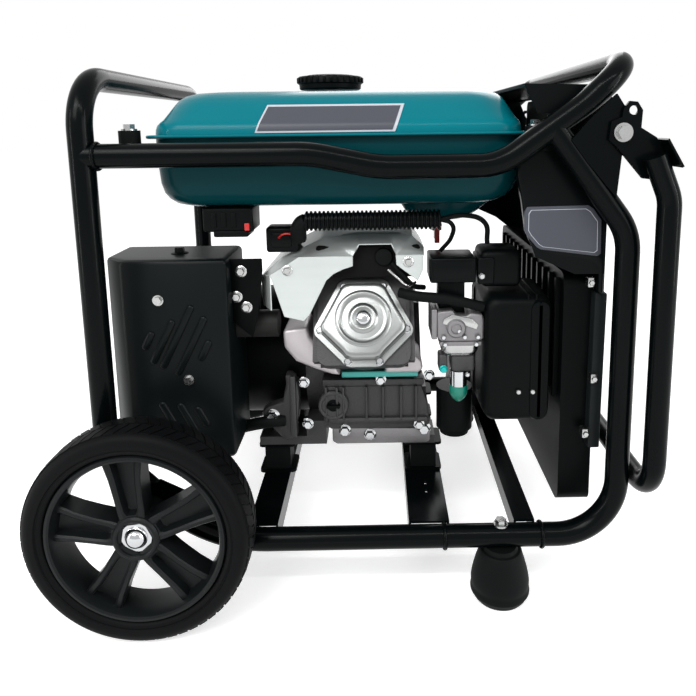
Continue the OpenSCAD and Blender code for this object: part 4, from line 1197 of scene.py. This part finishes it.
# %% Dipstick cap
stick_low, stick_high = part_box("dipstick")
stick = Vector(((stick_low.x + stick_high.x) / 2, stick_high.y, (stick_low.z + stick_high.z) / 2))
stick_r = (stick_high.x - stick_low.x) / 2
knob = turned(
    [
        (0, 0), (0.0078, 0), (0.0078, 0.0110), (stick_r - 0.001, 0.0120), (stick_r, 0.0135),
        (stick_r, 0.0185), (stick_r - 0.0015, 0.0205), (0.0075, 0.0210), (0, 0.0205)
    ],
    stick, (0, -1, 0), 48
)
bar = block(
    (stick.x - 0.0095, stick_low.y, stick.z - 0.0022),
    (stick.x + 0.0095, stick_high.y - 0.019, stick.z + 0.0022), 0.0012
)
settle(joined([knob, bar]), "dipstick_cap", plastic, "dipstick", "dipstick", angle=38)
print("engine front ready")

# %% [markdown]
# ## Heat shield
# A folded sheet of bright metal keeps the exhaust's heat off the tank; its pale greenish colour is
# partly the metal and partly painted reflection of the white surroundings and the teal tank. Its front
# is two flat leaves with a gap for the plug; its roof climbs backwards over the cylinder head. The roof
# is a grid laid between a front edge and a rear edge, and both edges follow the same seven stations.

# %% Leaves, flap and roof
shield_low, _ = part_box("heat_shield")
shield_y = shield_low.y + 0.0012
leaf_left = plate(
    outline(
        [
            (-117, 157), (-80, 180), (-12, 181), (-12, 168), (-25, 164), (-37, 158), (-46, 150),
            (-68, 106), (-76, 97), (-101, 103)
        ],
        shield_y, crank
    ),
    (0, 0.0016, 0), 0.0005, 1
)
leaf_right = plate(
    outline([(42, 182), (77, 181), (77, 163), (70, 148), (43, 169)], shield_y, crank), (0, 0.0016, 0),
    0.0005, 1
)


def along_edge(stations, share):
    """A point on a line of stations, at a share of its length from 0 to 1."""
    place = min(share * (len(stations) - 1), len(stations) - 1.001)
    k = int(place)
    return Vector(stations[k]).lerp(Vector(stations[k + 1]), place - k)


front_edge = outline(
    [(-117, 157), (-80, 180), (-12, 181), (-4, 196), (37, 196), (43, 182), (78, 181)], shield_y, crank
)
middle_edge = [
    p + Vector((0, 0.024, 0))
    for p in outline(
        [(-133, 150), (-104, 175), (-50, 201), (-6, 206), (38, 206), (64, 202), (79, 186)], shield_y,
        crank
    )
]
rear_edge = [
    p + Vector((0, 0.095, 0))
    for p in outline(
        [(-133, 150), (-106, 180), (-52, 206), (-6, 209), (38, 209), (66, 206), (79, 186)], shield_y,
        crank
    )
]


def on_roof(u, v):
    """The roof climbs steeply behind its front edge and then runs level."""
    if v < 0.5:
        return along_edge(front_edge, u).lerp(along_edge(middle_edge, u), v * 2)
    return along_edge(middle_edge, u).lerp(along_edge(rear_edge, u), v * 2 - 1)


roof = laid_grid(60, 16, on_roof, 0.0014)
flap_top = [
    Vector((engine_x - 0.117, shield_y, crank.z + 0.157)),
    Vector((engine_x - 0.133, shield_y + 0.028, crank.z + 0.153))
]
flap_foot = [
    Vector((engine_x - 0.117, shield_y, crank.z + 0.112)),
    Vector((engine_x - 0.131, shield_y + 0.028, crank.z + 0.112))
]
flap = laid_grid(
    2, 4, lambda u, v: flap_foot[0].lerp(flap_foot[1], u).lerp(flap_top[0].lerp(flap_top[1], u), v),
    0.0014
)
shield = joined([leaf_left, leaf_right, roof, flap])
settle(shield, "heat_shield_sheet", sheet_and_painted_reflection, "frame", "heat_shield", angle=30)
# A dark block behind the gap between the leaves: painted shade under the roof, over the cylinder head.
shade_block = block(
    (engine_x - 0.060, shield_y + 0.012, crank.z + 0.150),
    (engine_x + 0.074, shield_y + 0.030, crank.z + 0.192), 0.004
)
settle(shade_block, "head_top_dark", painted_shade, "frame", angle=35)
shield_bolts = screws_at([(-95, 164), (58, 173)], shield_y - 0.0002, crank, 0.008, 0.004, 0.0068)
settle(shield_bolts, "heat_shield_bolts", zinc, "frame", slot="bolt_steel", angle=38)

# %% Plug cap, coil and leads
plug_at = Vector((engine_x + 0.028, shield_y + 0.020, crank.z + 0.177))
boot = turned(
    [
        (0, -0.050), (0.0105, -0.050), (0.0110, 0.0), (0.0122, 0.004), (0.0122, 0.0085), (0.0105, 0.0115),
        (0.0060, 0.0125), (0, 0.0126)
    ],
    plug_at, (-0.1, -1, 0.05), 40
)
settle(boot, "plug_cap", rubber, "frame", "plug_boot", angle=38)
pipe(
    [
        plug_at + Vector((0.006, -0.004, -0.004)), plug_at + Vector((0.022, -0.012, -0.022)),
        plug_at + Vector((0.036, -0.006, -0.038)), plug_at + Vector((0.052, 0.012, -0.046))
    ],
    0.0036, "plug_lead", rubber
)
coil_at = Vector((engine_x - 0.102, shield_y + 0.024, crank.z + 0.200))
coil = block(coil_at + Vector((-0.021, -0.010, -0.016)), coil_at + Vector((0.021, 0.022, 0.017)), 0.004, 3)
coil_face = block(
    coil_at + Vector((-0.014, -0.0125, -0.009)), coil_at + Vector((0.012, -0.008, 0.010)), 0.002, 2
)
settle(joined([coil, coil_face]), "ignition_coil", plastic_smooth, "frame", angle=35)
pipe(
    [
        coil_at + Vector((-0.004, -0.013, 0.004)), coil_at + Vector((0.004, -0.020, 0.010)),
        coil_at + Vector((0.018, -0.018, 0.010)), coil_at + Vector((0.030, -0.006, 0.016))
    ],
    0.0013, "coil_wire_red", red_plastic
)
pipe(
    [
        plug_at + Vector((0.004, -0.022, -0.013)), plug_at + Vector((0.016, -0.022, -0.024)),
        plug_at + Vector((0.030, -0.018, -0.036)), plug_at + Vector((0.040, -0.006, -0.034))
    ],
    0.0016, "bright_line", zinc
)
print("heat shield ready")

# %% [markdown]
# ## Corrugated conduit
# Convoluted tubing is a row of ridges. The whole section is drawn once, ridge by ridge, and
# turned round its own length. Its left end bends down to the coil as a plain sleeve.

# %% Conduit and wires
duct_low, duct_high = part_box("conduit")
duct = Vector((duct_low.x, (duct_low.y + duct_high.y) / 2, (duct_low.z + duct_high.z) / 2 + 0.002))
ridges = [(0.0095, 0.0)]
pitch = 0.0052
for k in range(int((duct_high.x - duct_low.x) / pitch)):
    ridges += [
        (0.0098, pitch * (k + 0.12)), (0.0122, pitch * (k + 0.3)), (0.0122, pitch * (k + 0.68)),
        (0.0098, pitch * (k + 0.88))
    ]
last = ridges[-1][1]
ridges += [(0.0, last + 0.001), (0.0, 0.0)]
conduit = turned(ridges, duct, (1, 0, 0), 32)
settle(conduit, "conduit_tube", plastic_smooth, "frame", "conduit", angle=28)
pipe(
    [
        duct + Vector((0.002, 0, 0)), duct + Vector((-0.006, 0.002, -0.005)),
        duct + Vector((-0.010, 0.010, -0.024))
    ],
    0.0100, "conduit_sleeve", rubber
)
wire_end = duct + Vector((last, 0, 0))
pipe(
    [
        wire_end, wire_end + Vector((0.014, 0.004, -0.006)), wire_end + Vector((0.016, 0.020, -0.026)),
        wire_end + Vector((0.004, 0.034, -0.046))
    ],
    0.0028, "wire_throttle", rubber
)
pipe(
    [
        wire_end, wire_end + Vector((0.030, 0.004, 0.004)), wire_end + Vector((0.056, 0.010, -0.006)),
        wire_end + Vector((0.062, 0.022, -0.034))
    ],
    0.0032, "wire_panel", rubber
)
hose_low, hose_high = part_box("breather_hose")
hose_y = (hose_low.y + hose_high.y) / 2
pipe(
    [
        Vector((hose_low.x - 0.006, hose_y + 0.010, hose_high.z - 0.002)),
        Vector((hose_low.x + 0.012, hose_y, hose_high.z - 0.004)),
        Vector((hose_low.x + 0.055, hose_y, hose_high.z - 0.009)),
        Vector((hose_high.x, hose_y + 0.004, hose_low.z + 0.004))
    ],
    0.0068, "breather_tube", rubber
)
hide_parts("breather_hose")

# %% [markdown]
# ## Carburettor and its governor
# The carburettor is a small casting: flange, throat, float bowl with a ring of screws, and a
# fuel shut-off solenoid underneath with a soft cap. Above it sits the governor's motor box.

# %% Carburettor
carb_low, carb_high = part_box("carburettor")
carb = Vector(((carb_low.x + carb_high.x) / 2 + 0.015, carb_low.y, crank.z))
inlet = block(
    (carb.x - 0.037, carb.y + 0.004, carb.z + 0.072), (carb.x - 0.030, carb.y + 0.060, carb.z + 0.112),
    0.0015
)
throat = plate(
    outline(
        [
            (-30, 109), (-10, 111), (-6, 104), (8, 103), (12, 107), (28, 105), (30, 98), (30, 72),
            (22, 69), (-24, 69), (-30, 74)
        ],
        carb.y + 0.003, carb
    ),
    (0, 0.052, 0), 0.003, 3
)
neck = turned(
    [(0, 0), (0.0125, 0), (0.0125, 0.016), (0.0105, 0.0185), (0.007, 0.0185), (0.006, 0.016), (0, 0.016)],
    Vector((carb.x - 0.006, carb.y + 0.016, carb.z + 0.088)), (0, -1, 0), 40
)
lever = plate(
    outline(
        [(-22, 100), (-10, 106), (14, 100), (22, 92), (20, 86), (4, 92), (-14, 91), (-23, 94)],
        carb.y + 0.0005, carb
    ),
    (0, 0.002, 0), 0.0008
)
rim = block(
    (carb.x - 0.027, carb.y + 0.002, carb.z + 0.0635), (carb.x + 0.027, carb.y + 0.054, carb.z + 0.0695),
    0.002
)
bowl = raised(
    [
        [Vector((carb.x + px, carb.y + 0.028 + py, carb.z + z)) for px, py in rounded(-a, a, -b, b, r, 6)]
        for z, a, b,
        r in (
            (0.064, 0.0245, 0.024, 0.012), (0.055, 0.0240, 0.0235, 0.012), (0.050, 0.0215, 0.021, 0.012),
            (0.047, 0.017, 0.017, 0.010)
        )
    ]
)
settle(joined([inlet, throat, neck, rim]), "carburettor_body", cast_light, "frame", "carburettor", angle=36)
settle(joined([bowl, lever]), "carburettor_bowl", zinc, "frame", slot="bolt_steel", angle=36)
sump_block = block(
    (carb.x - 0.011, carb.y + 0.010, carb.z + 0.026), (carb.x + 0.020, carb.y + 0.046, carb.z + 0.049),
    0.004, 3
)
lug = block(
    (carb.x - 0.027, carb.y + 0.012, carb.z + 0.026), (carb.x - 0.0155, carb.y + 0.034, carb.z + 0.049),
    0.003, 3
)
settle(joined([sump_block, lug]), "carburettor_sump", cast_grey, "frame", slot="engine_cast", angle=36)
screws = screws_at(
    [(-2, 84), (5, 76), (-22, 76), (22, 76), (-20, 66.5), (20, 66.5), (9, 26)], carb.y + 0.002, carb,
    0.0048, 0.0030, 0.0034
)
settle(screws, "carburettor_screws", chrome, "frame", slot="bolt_steel", angle=36)
drain_screw = hex_bolt((carb.x - 0.021, carb.y + 0.011, carb.z + 0.030), (0, -1, 0), 0.0075, 0.004, 0.0052)
settle(drain_screw, "bowl_drain_screw", teal_paint, "frame", slot="button_green", angle=36)

# %% Solenoid, soft cap, motor box
valve_low, valve_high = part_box("fuel_solenoid")
valve = Vector(((valve_low.x + valve_high.x) / 2, (valve_low.y + valve_high.y) / 2 - 0.008, valve_low.z))
valve_r = (valve_high.x - valve_low.x) / 2
can = turned(
    [
        (0, 0.012), (valve_r - 0.002, 0.012), (valve_r - 0.0008, 0.0135), (valve_r - 0.0008, 0.0370),
        (valve_r - 0.003, 0.0395), (0, 0.0395)
    ],
    valve, (0, 0, 1), 48
)
settle(can, "solenoid_can", chrome, "frame", "fuel_solenoid", angle=38)
soft_cap = turned(
    [
        (0, -0.006), (0.004, -0.006), (0.0085, -0.0015), (0.0115, 0.004), (0.0122, 0.0125),
        (0.0115, 0.0165), (0, 0.0165)
    ],
    valve, (0, 0, 1), 48
)
settle(soft_cap, "solenoid_soft_cap", green_plastic, "frame", slot="button_green", angle=38)
motor_low, motor_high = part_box("throttle_motor")
motor = block(
    (motor_low.x, motor_low.y - 0.003, motor_high.z - 0.027),
    (motor_low.x + 0.058, motor_high.y, motor_high.z + 0.0055), 0.003, 3
)
lid = block(
    (motor_low.x + 0.003, motor_low.y - 0.0042, motor_high.z - 0.0225),
    (motor_low.x + 0.054, motor_low.y, motor_high.z + 0.002), 0.0015, 2
)
plug_part = block(
    (motor_low.x + 0.060, motor_low.y - 0.003, motor_high.z - 0.029),
    (motor_high.x - 0.001, motor_high.y - 0.010, motor_high.z + 0.0055), 0.0025, 3
)
stand = block(
    (motor_low.x + 0.012, motor_low.y + 0.012, motor_low.z - 0.004),
    (motor_low.x + 0.046, motor_high.y - 0.010, motor_high.z - 0.024), 0.003
)
settle(
    joined([motor, lid, plug_part, stand]), "throttle_motor_box", plastic_smooth, "frame",
    "throttle_motor", angle=36
)
settle(
    hex_bolt(
        (motor_low.x + 0.065, motor_low.y - 0.0032, motor_high.z - 0.018), (0, -1, 0), 0.0060, 0.0032,
        0.0044
    ),
    "throttle_motor_screw", chrome, "frame", slot="bolt_steel", angle=36
)
print("carburettor ready")

# %% [markdown]
# ## Air filter
# A moulded box with a wide soft edge all round its front. It is raised from its back edge
# towards the viewer, and a double band at its middle marks where two halves meet.

# %% Air filter box
box_low, box_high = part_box("air_filter_cover")
lean = 0.003
box_rings = []
for y, inset, r in (
    (box_high.y, 0.0, 0.010), (box_low.y + 0.030, 0.0004, 0.012), (box_low.y + 0.0105, 0.0015, 0.014),
    (box_low.y + 0.0045, 0.0042, 0.014), (box_low.y + 0.0012, 0.0085, 0.014), (box_low.y, 0.0135, 0.013)
):
    box_rings.append(
        [
            Vector((px, y, pz)) for px,
            pz in rounded(
                box_low.x + inset, box_high.x - inset, box_low.z + inset, box_high.z + 0.004 - inset, r, 7
            )
        ]
    )
filter_box = raised(box_rings)
band_x = box_low.x + 0.056
half_cover = raised(
    [
        [
            Vector((px, y, pz)) for px,
            pz in rounded(
                band_x + inset, box_high.x - 0.004 - inset, box_low.z + 0.004 + inset,
                box_high.z - 0.001 - inset, r, 5
            )
        ]
        for y, inset,
        r in (
            (box_low.y + 0.004, 0.0, 0.010), (box_low.y - 0.0012, 0.002, 0.010),
            (box_low.y - 0.0022, 0.006, 0.009)
        )
    ]
)
bands = [
    block(
        (band_x + dx - 0.0011, box_low.y + 0.004, box_high.z - 0.012),
        (band_x + dx + 0.0011, box_high.y - 0.004, box_high.z + 0.0062), 0.0008
    )
    for dx in (-0.0015, 0.0085)
]
settle(
    joined([filter_box, half_cover] + bands), "air_filter_box", plastic, "frame", "air_filter_cover",
    angle=40
)
settle(
    screws_at(
        [(-13, -56), (5, -56)], box_low.y - 0.0018, Vector((band_x, 0, box_low.z + 0.100)), 0.0048,
        0.0022, 0.0034
    ),
    "air_filter_screws", zinc, "frame", slot="bolt_steel", angle=36
)
print("air filter ready")

# %% [markdown]
# ## Control housing
# The near cheek of the control housing carries a blank rating plate with a thin border line,
# and spring clips hold the dark inverter frame below it.

# %% Cheek, blank plate, clips
hood_low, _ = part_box("control_shroud")
cheek_y = hood_low.y
cheek_at = Vector((hood_low.x, 0, hood_low.z))
rating = [
    (7, 82), (79, 83), (85, 79), (95, 65), (96, 25), (92, 22), (24, 31), (19, 34), (8, 47), (4, 54),
    (4, 77)
]
label_x, label_z = 50, 54
plate_back = plate(outline(rating, cheek_y - 0.0016, cheek_at), (0, 0.003, 0), 0.0006, 2)
settle(plate_back, "rating_plate", plate_grey, "frame", angle=35)
inner = [(label_x + (x - label_x) * 0.90, label_z + (z - label_z) * 0.87) for x, z in rating]
inmost = [(label_x + (x - label_x) * 0.885, label_z + (z - label_z) * 0.85) for x, z in rating]
line_piece = plate(outline(inner, cheek_y - 0.0020, cheek_at), (0, 0.0008, 0))
settle(line_piece, "rating_plate_line", plate_edge, "frame", angle=35)
blank = plate(outline(inmost, cheek_y - 0.0022, cheek_at), (0, 0.0008, 0))
settle(blank, "rating_plate_blank", plate_grey, "frame", angle=35)
skirt = plate(
    outline(
        [
            (-4, 150), (-5, 118), (1, 90), (6, 56), (11, 42), (20, 28), (40, 22), (84, 15), (92, 8),
            (95, -2), (95, -25), (102, -26), (102, 20), (98, 82), (60, 150)
        ],
        cheek_y - 0.0002, cheek_at
    ),
    (0, 0.014, 0), 0.004, 3
)
settle(skirt, "control_cheek", plastic_smooth, "frame", slot="shroud_black", angle=35)
snorkel = block(
    (hood_low.x - 0.040, cheek_y + 0.040, hood_low.z - 0.026),
    (hood_low.x + 0.012, cheek_y + 0.100, hood_low.z + 0.022), 0.008, 3
)
settle(snorkel, "air_filter_snorkel", plastic, "frame", slot="plastic_black", angle=35)
edge_bar = plate(
    outline([(94, -25), (109, -26), (107, -227), (92, -227)], cheek_y + 0.006, cheek_at), (0, 0.022, 0),
    0.002
)
settle(edge_bar, "inverter_edge", panel_paint, "frame", slot="panel_grey", angle=35)
clips = []
for x, z in ((87, -11), (95, -133), (87, -205)):
    here = outline([(x, z)], cheek_y + 0.003, cheek_at)[0]
    clips.append(
        block(here + Vector((-0.004, -0.002, -0.006)), here + Vector((0.004, 0.010, 0.006)), 0.0012)
    )
    clips.append(hex_bolt(here + Vector((0, -0.002, 0)), (0, -1, 0), 0.006, 0.003))
settle(joined(clips), "inverter_clips", zinc, "frame", slot="bolt_steel", angle=36)
print("control side ready")

# %% [markdown]
# ## Around the silencer
# One more bolt holds the guard through its lid. A dark bracket with three bolts ties the
# silencer to the engine, and a relay box hangs under the tank in front of it.

# %% Guard bolts, side bracket, relay box
settle(
    hex_bolt((gx0 + 0.088, gy0 + 0.045, gz1 - 0.0002), (0, 0, 1), 0.011, 0.008, 0.011), "guard_lid_bolt",
    black_satin, "frame", slot="plate_black"
)
box_y = gy0 + 0.022
side_plate = plate(
    [
        Vector((gx1 + x, box_y, gz1 + z)) for x,
        z in (
            (-0.004, -0.004), (0.040, -0.004), (0.040, -0.020), (0.033, -0.075), (0.024, -0.108),
            (0.006, -0.092), (-0.004, -0.080)
        )
    ],
    (0, 0.003, 0), 0.0012
)
settle(side_plate, "silencer_bracket", black_satin, "frame", slot="plate_black", angle=35)
settle(
    joined(
        [
            hex_bolt((gx1 + x, box_y, gz1 + z), (0, -1, 0), 0.009, 0.005, 0.0075) for x,
            z in ((0.0130, -0.020), (0.0060, -0.053), (0.0180, -0.067))
        ]
    ),
    "silencer_bracket_bolts", zinc, "frame", slot="bolt_steel", angle=36
)
relay_low, relay_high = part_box("relay_box")
relay = block(relay_low + Vector((0.001, 0.0, 0.006)), relay_high, 0.003, 3)
foot = block(
    relay_low + Vector((0.014, -0.002, 0.0)),
    Vector((relay_high.x - 0.006, relay_high.y - 0.010, relay_low.z + 0.008)), 0.002
)
marks = [
    block(
        (relay_low.x + 0.012 + k * 0.012, relay_low.y - 0.0012, relay_low.z + 0.012),
        (relay_low.x + 0.018 + k * 0.012, relay_low.y + 0.002, relay_high.z - 0.006), 0.0008
    )
    for k in range(3)
]
settle(joined([relay, foot] + marks), "relay_box_case", plastic, "frame", "relay_box", angle=35)
tab = block(
    (relay_high.x - 0.010, relay_low.y - 0.0022, relay_low.z + 0.008),
    (relay_high.x - 0.004, relay_low.y + 0.001, relay_low.z + 0.017), 0.0008
)
settle(tab, "relay_tab", red_plastic, "frame", slot="lever_red", angle=35)
pipe(
    [
        Vector((gx1 - 0.010, -0.112, 0.170)), Vector((gx1 + 0.016, -0.118, 0.178)),
        Vector((gx1 + 0.036, -0.118, 0.181)), Vector((gx1 + 0.052, -0.112, 0.180))
    ],
    0.0085, "drain_hose", rubber
)
print("silencer side ready")

# %% [markdown]
# ## Weld beads
# Where two tubes are welded, a thin rough bead runs round the joint. A torus primitive, its
# ring broken up a little, makes one bead.


# %% Weld beads
def weld(place, axis, radius, name):
    """A thin weld bead round a tube: a torus whose ripples go all the way round."""
    clear()
    bpy.ops.mesh.primitive_torus_add(
        major_radius=radius, minor_radius=0.0022, major_segments=72, minor_segments=10
    )
    bead = bpy.context.object
    for v in bead.data.vertices:
        around = math.atan2(v.co.y, v.co.x)
        v.co.z += 0.0006 * math.sin(around * 24)
    bead.data.transform(Vector(axis).to_track_quat("Z", "Y").to_matrix().to_4x4())
    bead.data.transform(Matrix.Translation(place))
    return settle(bead, name, black_gloss, "frame", slot="frame_black", angle=60)


rail_low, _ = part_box("top_rail")
hoop_low, hoop_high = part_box("rear_hoop")
tube_r = 0.014
beads = 0
for side in (-1, 1):
    y = side * (hoop_high.y - tube_r)
    for x, z in ((cad_low.x + 0.487, hoop_low.z + tube_r), (cad_low.x + 0.607, hoop_low.z + tube_r)):
        weld((x, y, z), (1, 0, 0), tube_r + 0.0004, f"weld_rail_{beads}")
        beads += 1
    weld(
        (hoop_low.x + tube_r * 1.9 + 0.004, y, rail_low.z + 0.030), (1, 0, 0.02), tube_r + 0.0006,
        f"weld_rail_{beads}"
    )
    beads += 1
print(beads, "weld beads")

# %% [markdown]
# ## Control panel
# The face of the machine: a moulded panel with a raised frame, a display window, two lidded
# sockets, a selector, a rocker, a start button and blank plates where printed labels would be.

# %% Panel face
panel_low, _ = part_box("control_panel")
face_x = panel_low.x + 0.0032


def on_panel(y, z, x=0.0):
    """A place on the panel's face."""
    return Vector((face_x + x, y, z))


def panel_block(y0, y1, z0, z1, x0, x1, r, name, material, edge=0.0012, slot="panel_grey"):
    """A rounded rectangle that stands on the panel's face."""
    made = raised(
        [
            [Vector((face_x + x, py, pz)) for py, pz in rounded(y0 + i, y1 - i, z0 + i, z1 - i, r, 5)]
            for x, i in ((x0, 0.0), (x1 - edge, 0.0), (x1, edge))
        ]
    )
    return settle(made, name, material, "frame", slot=slot, angle=38)


panel_block(-0.196, 0.196, 0.266, 0.612, -0.003, 0.0018, 0.014, "panel_face", panel_paint)
panel_block(-0.060, 0.060, 0.552, 0.602, 0.0018, 0.0042, 0.006, "display_frame", plastic_smooth)
panel_block(
    -0.048, 0.048, 0.560, 0.594, 0.0042, 0.0048, 0.003, "display_glass",
    finish("display glass", (0.002, 0.004, 0.004), 0.08, specular=0.4, depth=0.0), 0.0004
)
panel_block(0.086, 0.180, 0.560, 0.598, 0.0018, 0.0028, 0.005, "panel_plate_far", plate_grey, 0.0005)
panel_block(-0.180, -0.086, 0.560, 0.598, 0.0018, 0.0028, 0.005, "panel_plate_near", plate_grey, 0.0005)
panel_block(-0.048, 0.048, 0.392, 0.424, 0.0018, 0.0028, 0.005, "panel_plate_low", plate_grey, 0.0005)
panel_screws = [
    hex_bolt(on_panel(y, z, 0.0016), (1, 0, 0), 0.0065, 0.003, 0.0048) for y in (-0.186, 0.186)
    for z in (0.276, 0.440, 0.602)
]
settle(joined(panel_screws), "panel_screws", zinc, "frame", slot="bolt_steel", angle=36)
earth = joined(
    [
        hex_bolt(on_panel(0.0, 0.300, 0.0016), (1, 0, 0), 0.013, 0.006, 0.010),
        hex_bolt(on_panel(0.0, 0.300, 0.0076), (1, 0, 0), 0.010, 0.005)
    ]
)
settle(earth, "earth_bolt", zinc, "frame", slot="bolt_steel", angle=36)
lamps_row = [
    turned(
        [(0, 0), (0.0030, 0), (0.0030, 0.0012), (0.0018, 0.0026), (0, 0.0030)],
        on_panel(y, 0.541, 0.0016), (1, 0, 0), 24
    )
    for y in (-0.030, 0.0, 0.030)
]
settle(joined(lamps_row), "panel_lamps", green_plastic, "frame", slot="button_green", angle=40)
print("panel face ready")


# %% Knobs and lids
def front_of(node):
    """The middle of a panel part and how far it stands out."""
    low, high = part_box(node)
    return Vector((low.x, (low.y + high.y) / 2, (low.z + high.z) / 2)), high - low


knob_at, knob_size = front_of("switch_knob")
knob_r = knob_size.y / 2
dial = turned(
    [
        (0, 0), (knob_r, 0), (knob_r, 0.009), (knob_r - 0.0008, 0.0115), (knob_r - 0.003, 0.0130),
        (0, 0.0130)
    ],
    knob_at, (1, 0, 0), 48
)
grip = block(
    knob_at + Vector((0.010, -0.0035, -knob_r + 0.001)),
    knob_at + Vector((knob_size.x, 0.0035, knob_r - 0.001)), 0.0014
)
settle(joined([dial, grip]), "selector_knob", plastic, "switch_knob", "switch_knob", angle=38)
button_at, button_size = front_of("start_button")
button_r = button_size.y / 2
button = turned(
    [
        (0, 0), (button_r, 0), (button_r, button_size.x - 0.0016),
        (button_r - 0.001, button_size.x - 0.0003), (button_r - 0.0022, button_size.x),
        (button_r - 0.0040, button_size.x - 0.0007), (0, button_size.x - 0.0009)
    ],
    button_at, (1, 0, 0), 40
)
settle(button, "start_button_cap", green_plastic, "start_button", "start_button", angle=38)
rocker_at, rocker_size = front_of("breaker_rocker")
rocker = plate(
    [
        rocker_at + Vector((x, -rocker_size.y / 2, z)) for x,
        z in (
            (0.0, -0.0115), (0.0045, -0.0115), (0.0058, -0.004), (0.0060, 0.0), (0.0072, 0.006),
            (0.0078, 0.0115), (0.0, 0.0115)
        )
    ],
    (0, rocker_size.y, 0), 0.0007
)
settle(rocker, "breaker_rocker_cap", plastic_smooth, "breaker_rocker", "breaker_rocker", angle=35)
lid_low, lid_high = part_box("socket_lid")
lid_y = (lid_low.y + lid_high.y) / 2
lid_r = (lid_high.y - lid_low.y) / 2
lid = turned(
    [
        (0, 0), (lid_r, 0), (lid_r, 0.0034), (lid_r - 0.0010, 0.0048), (lid_r - 0.0040, 0.0056),
        (lid_r - 0.0075, 0.0050), (lid_r - 0.0100, 0.0054), (0, 0.0058)
    ],
    Vector((lid_low.x, lid_y, lid_low.z + lid_r)), (1, 0, 0), 56
)
ear = block(
    (lid_low.x, lid_y - 0.012, lid_low.z + 2 * lid_r - 0.006),
    (lid_high.x - 0.001, lid_y + 0.012, lid_high.z), 0.001
)
tongue = block(
    (lid_low.x + 0.003, lid_y - 0.007, lid_low.z + 0.0005),
    (lid_high.x, lid_y + 0.007, lid_low.z + 0.008), 0.001
)
settle(joined([lid, ear, tongue]), "socket_lid_cover", plastic_smooth, "socket_lid", "socket_lid", angle=38)
cover_low, cover_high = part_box("round_lid")
cover_r = (cover_high.y - cover_low.y) / 2
cover_at = Vector((cover_low.x, (cover_low.y + cover_high.y) / 2, cover_low.z + cover_r))
round_cover = turned(
    [
        (0, 0), (cover_r, 0), (cover_r, 0.0042), (cover_r - 0.0012, 0.0058), (cover_r - 0.0050, 0.0066),
        (cover_r - 0.0085, 0.0060), (cover_r - 0.0110, 0.0064), (0, 0.0068)
    ],
    cover_at, (1, 0, 0), 56
)
ear = block(
    (cover_low.x, cover_at.y - 0.012, cover_at.z + cover_r - 0.006),
    (cover_high.x - 0.001, cover_at.y + 0.012, cover_high.z), 0.001
)
tongue = block(
    (cover_low.x + 0.004, cover_at.y - 0.008, cover_low.z + 0.0005),
    (cover_high.x, cover_at.y + 0.008, cover_low.z + 0.009), 0.001
)
settle(
    joined([round_cover, ear, tongue]), "round_lid_cover", plastic_smooth, "round_lid", "round_lid",
    angle=38
)
print("controls ready")

# %% [markdown]
# ## The far side
# Behind the engine sit the recoil starter's grip, the battery with its terminals and the
# electric starter. They are seen from the rear, so they get real edges and caps too.

# %% Recoil grip, battery, starter
grip_low, grip_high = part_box("recoil_grip")
grip_mid = (grip_low + grip_high) / 2
handle_piece = block(
    (grip_low.x, grip_low.y + 0.001, grip_low.z), (grip_low.x + 0.017, grip_high.y - 0.001, grip_high.z),
    0.0065, 4
)
stem = turned(
    [(0, 0), (0.0065, 0), (0.0050, 0.006), (0.0042, 0.0105), (0, 0.0105)],
    Vector((grip_low.x + 0.0150, grip_mid.y, grip_mid.z)), (1, 0, 0), 32
)
settle(joined([handle_piece, stem]), "recoil_grip_handle", rubber, "recoil_grip", "recoil_grip", angle=45)
battery_low, battery_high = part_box("battery")
cell = block(battery_low, (battery_high.x, battery_high.y, battery_high.z - 0.018), 0.004, 3)
cell_lid = block(
    (battery_low.x - 0.0005, battery_low.y - 0.0005, battery_high.z - 0.022),
    (battery_high.x + 0.0005, battery_high.y + 0.0005, battery_high.z - 0.008), 0.003, 3
)
settle(joined([cell, cell_lid]), "battery_case", plastic, "frame", "battery", angle=36)
for side, boot_paint in ((-1, rubber), (1, red_plastic)):
    post = Vector(
        (
            battery_low.x + 0.014, (battery_low.y + battery_high.y) / 2 + side * 0.034,
            battery_high.z - 0.010
        )
    )
    settle(
        block(post + Vector((-0.010, -0.009, 0)), post + Vector((0.010, 0.009, 0.010)), 0.003, 3),
        f"battery_boot_{'near' if side < 0 else 'far'}", boot_paint, "frame", angle=40
    )
starter_low, starter_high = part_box("starter_motor")
drum_r = (starter_high.z - starter_low.z) / 2 * 0.86
drum_at = Vector(
    (starter_low.x, (starter_low.y + starter_high.y) / 2 + 0.006, (starter_low.z + starter_high.z) / 2)
)
drum_end = turned(
    [
        (0, 0), (drum_r, 0), (drum_r + 0.0012, 0.002), (drum_r + 0.0012, 0.009), (drum_r, 0.011),
        (0, 0.011)
    ],
    drum_at, (1, 0, 0), 48
)
settle(drum_end, "starter_band", zinc, "frame", slot="bolt_steel", angle=36)
vent_low, vent_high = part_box("recoil_cover")
vent_at = Vector(
    (vent_low.x - 0.0004, (vent_low.y + vent_high.y) / 2 - 0.004, (vent_low.z + vent_high.z) / 2)
)
# Each vent is a thin dark block on the cover: painted shade standing for the vent's opening.
one_vent = block(
    vent_at + Vector((-0.0006, -0.0022, 0.034)), vent_at + Vector((0.0010, 0.0022, 0.066)), 0.0005, 1
)
vents = [one_vent]
for k in range(1, 16):
    if k not in (4, 5):
        vents.append(
            copy_of(
                one_vent,
                Matrix.Translation(vent_at) @ Matrix.Rotation(
                    math.radians(22.5 * k), 4, "X"
                ) @ Matrix.Translation(-vent_at)
            )
        )
settle(joined(vents), "recoil_vents", painted_shade, "frame", angle=35)
print("far side ready")
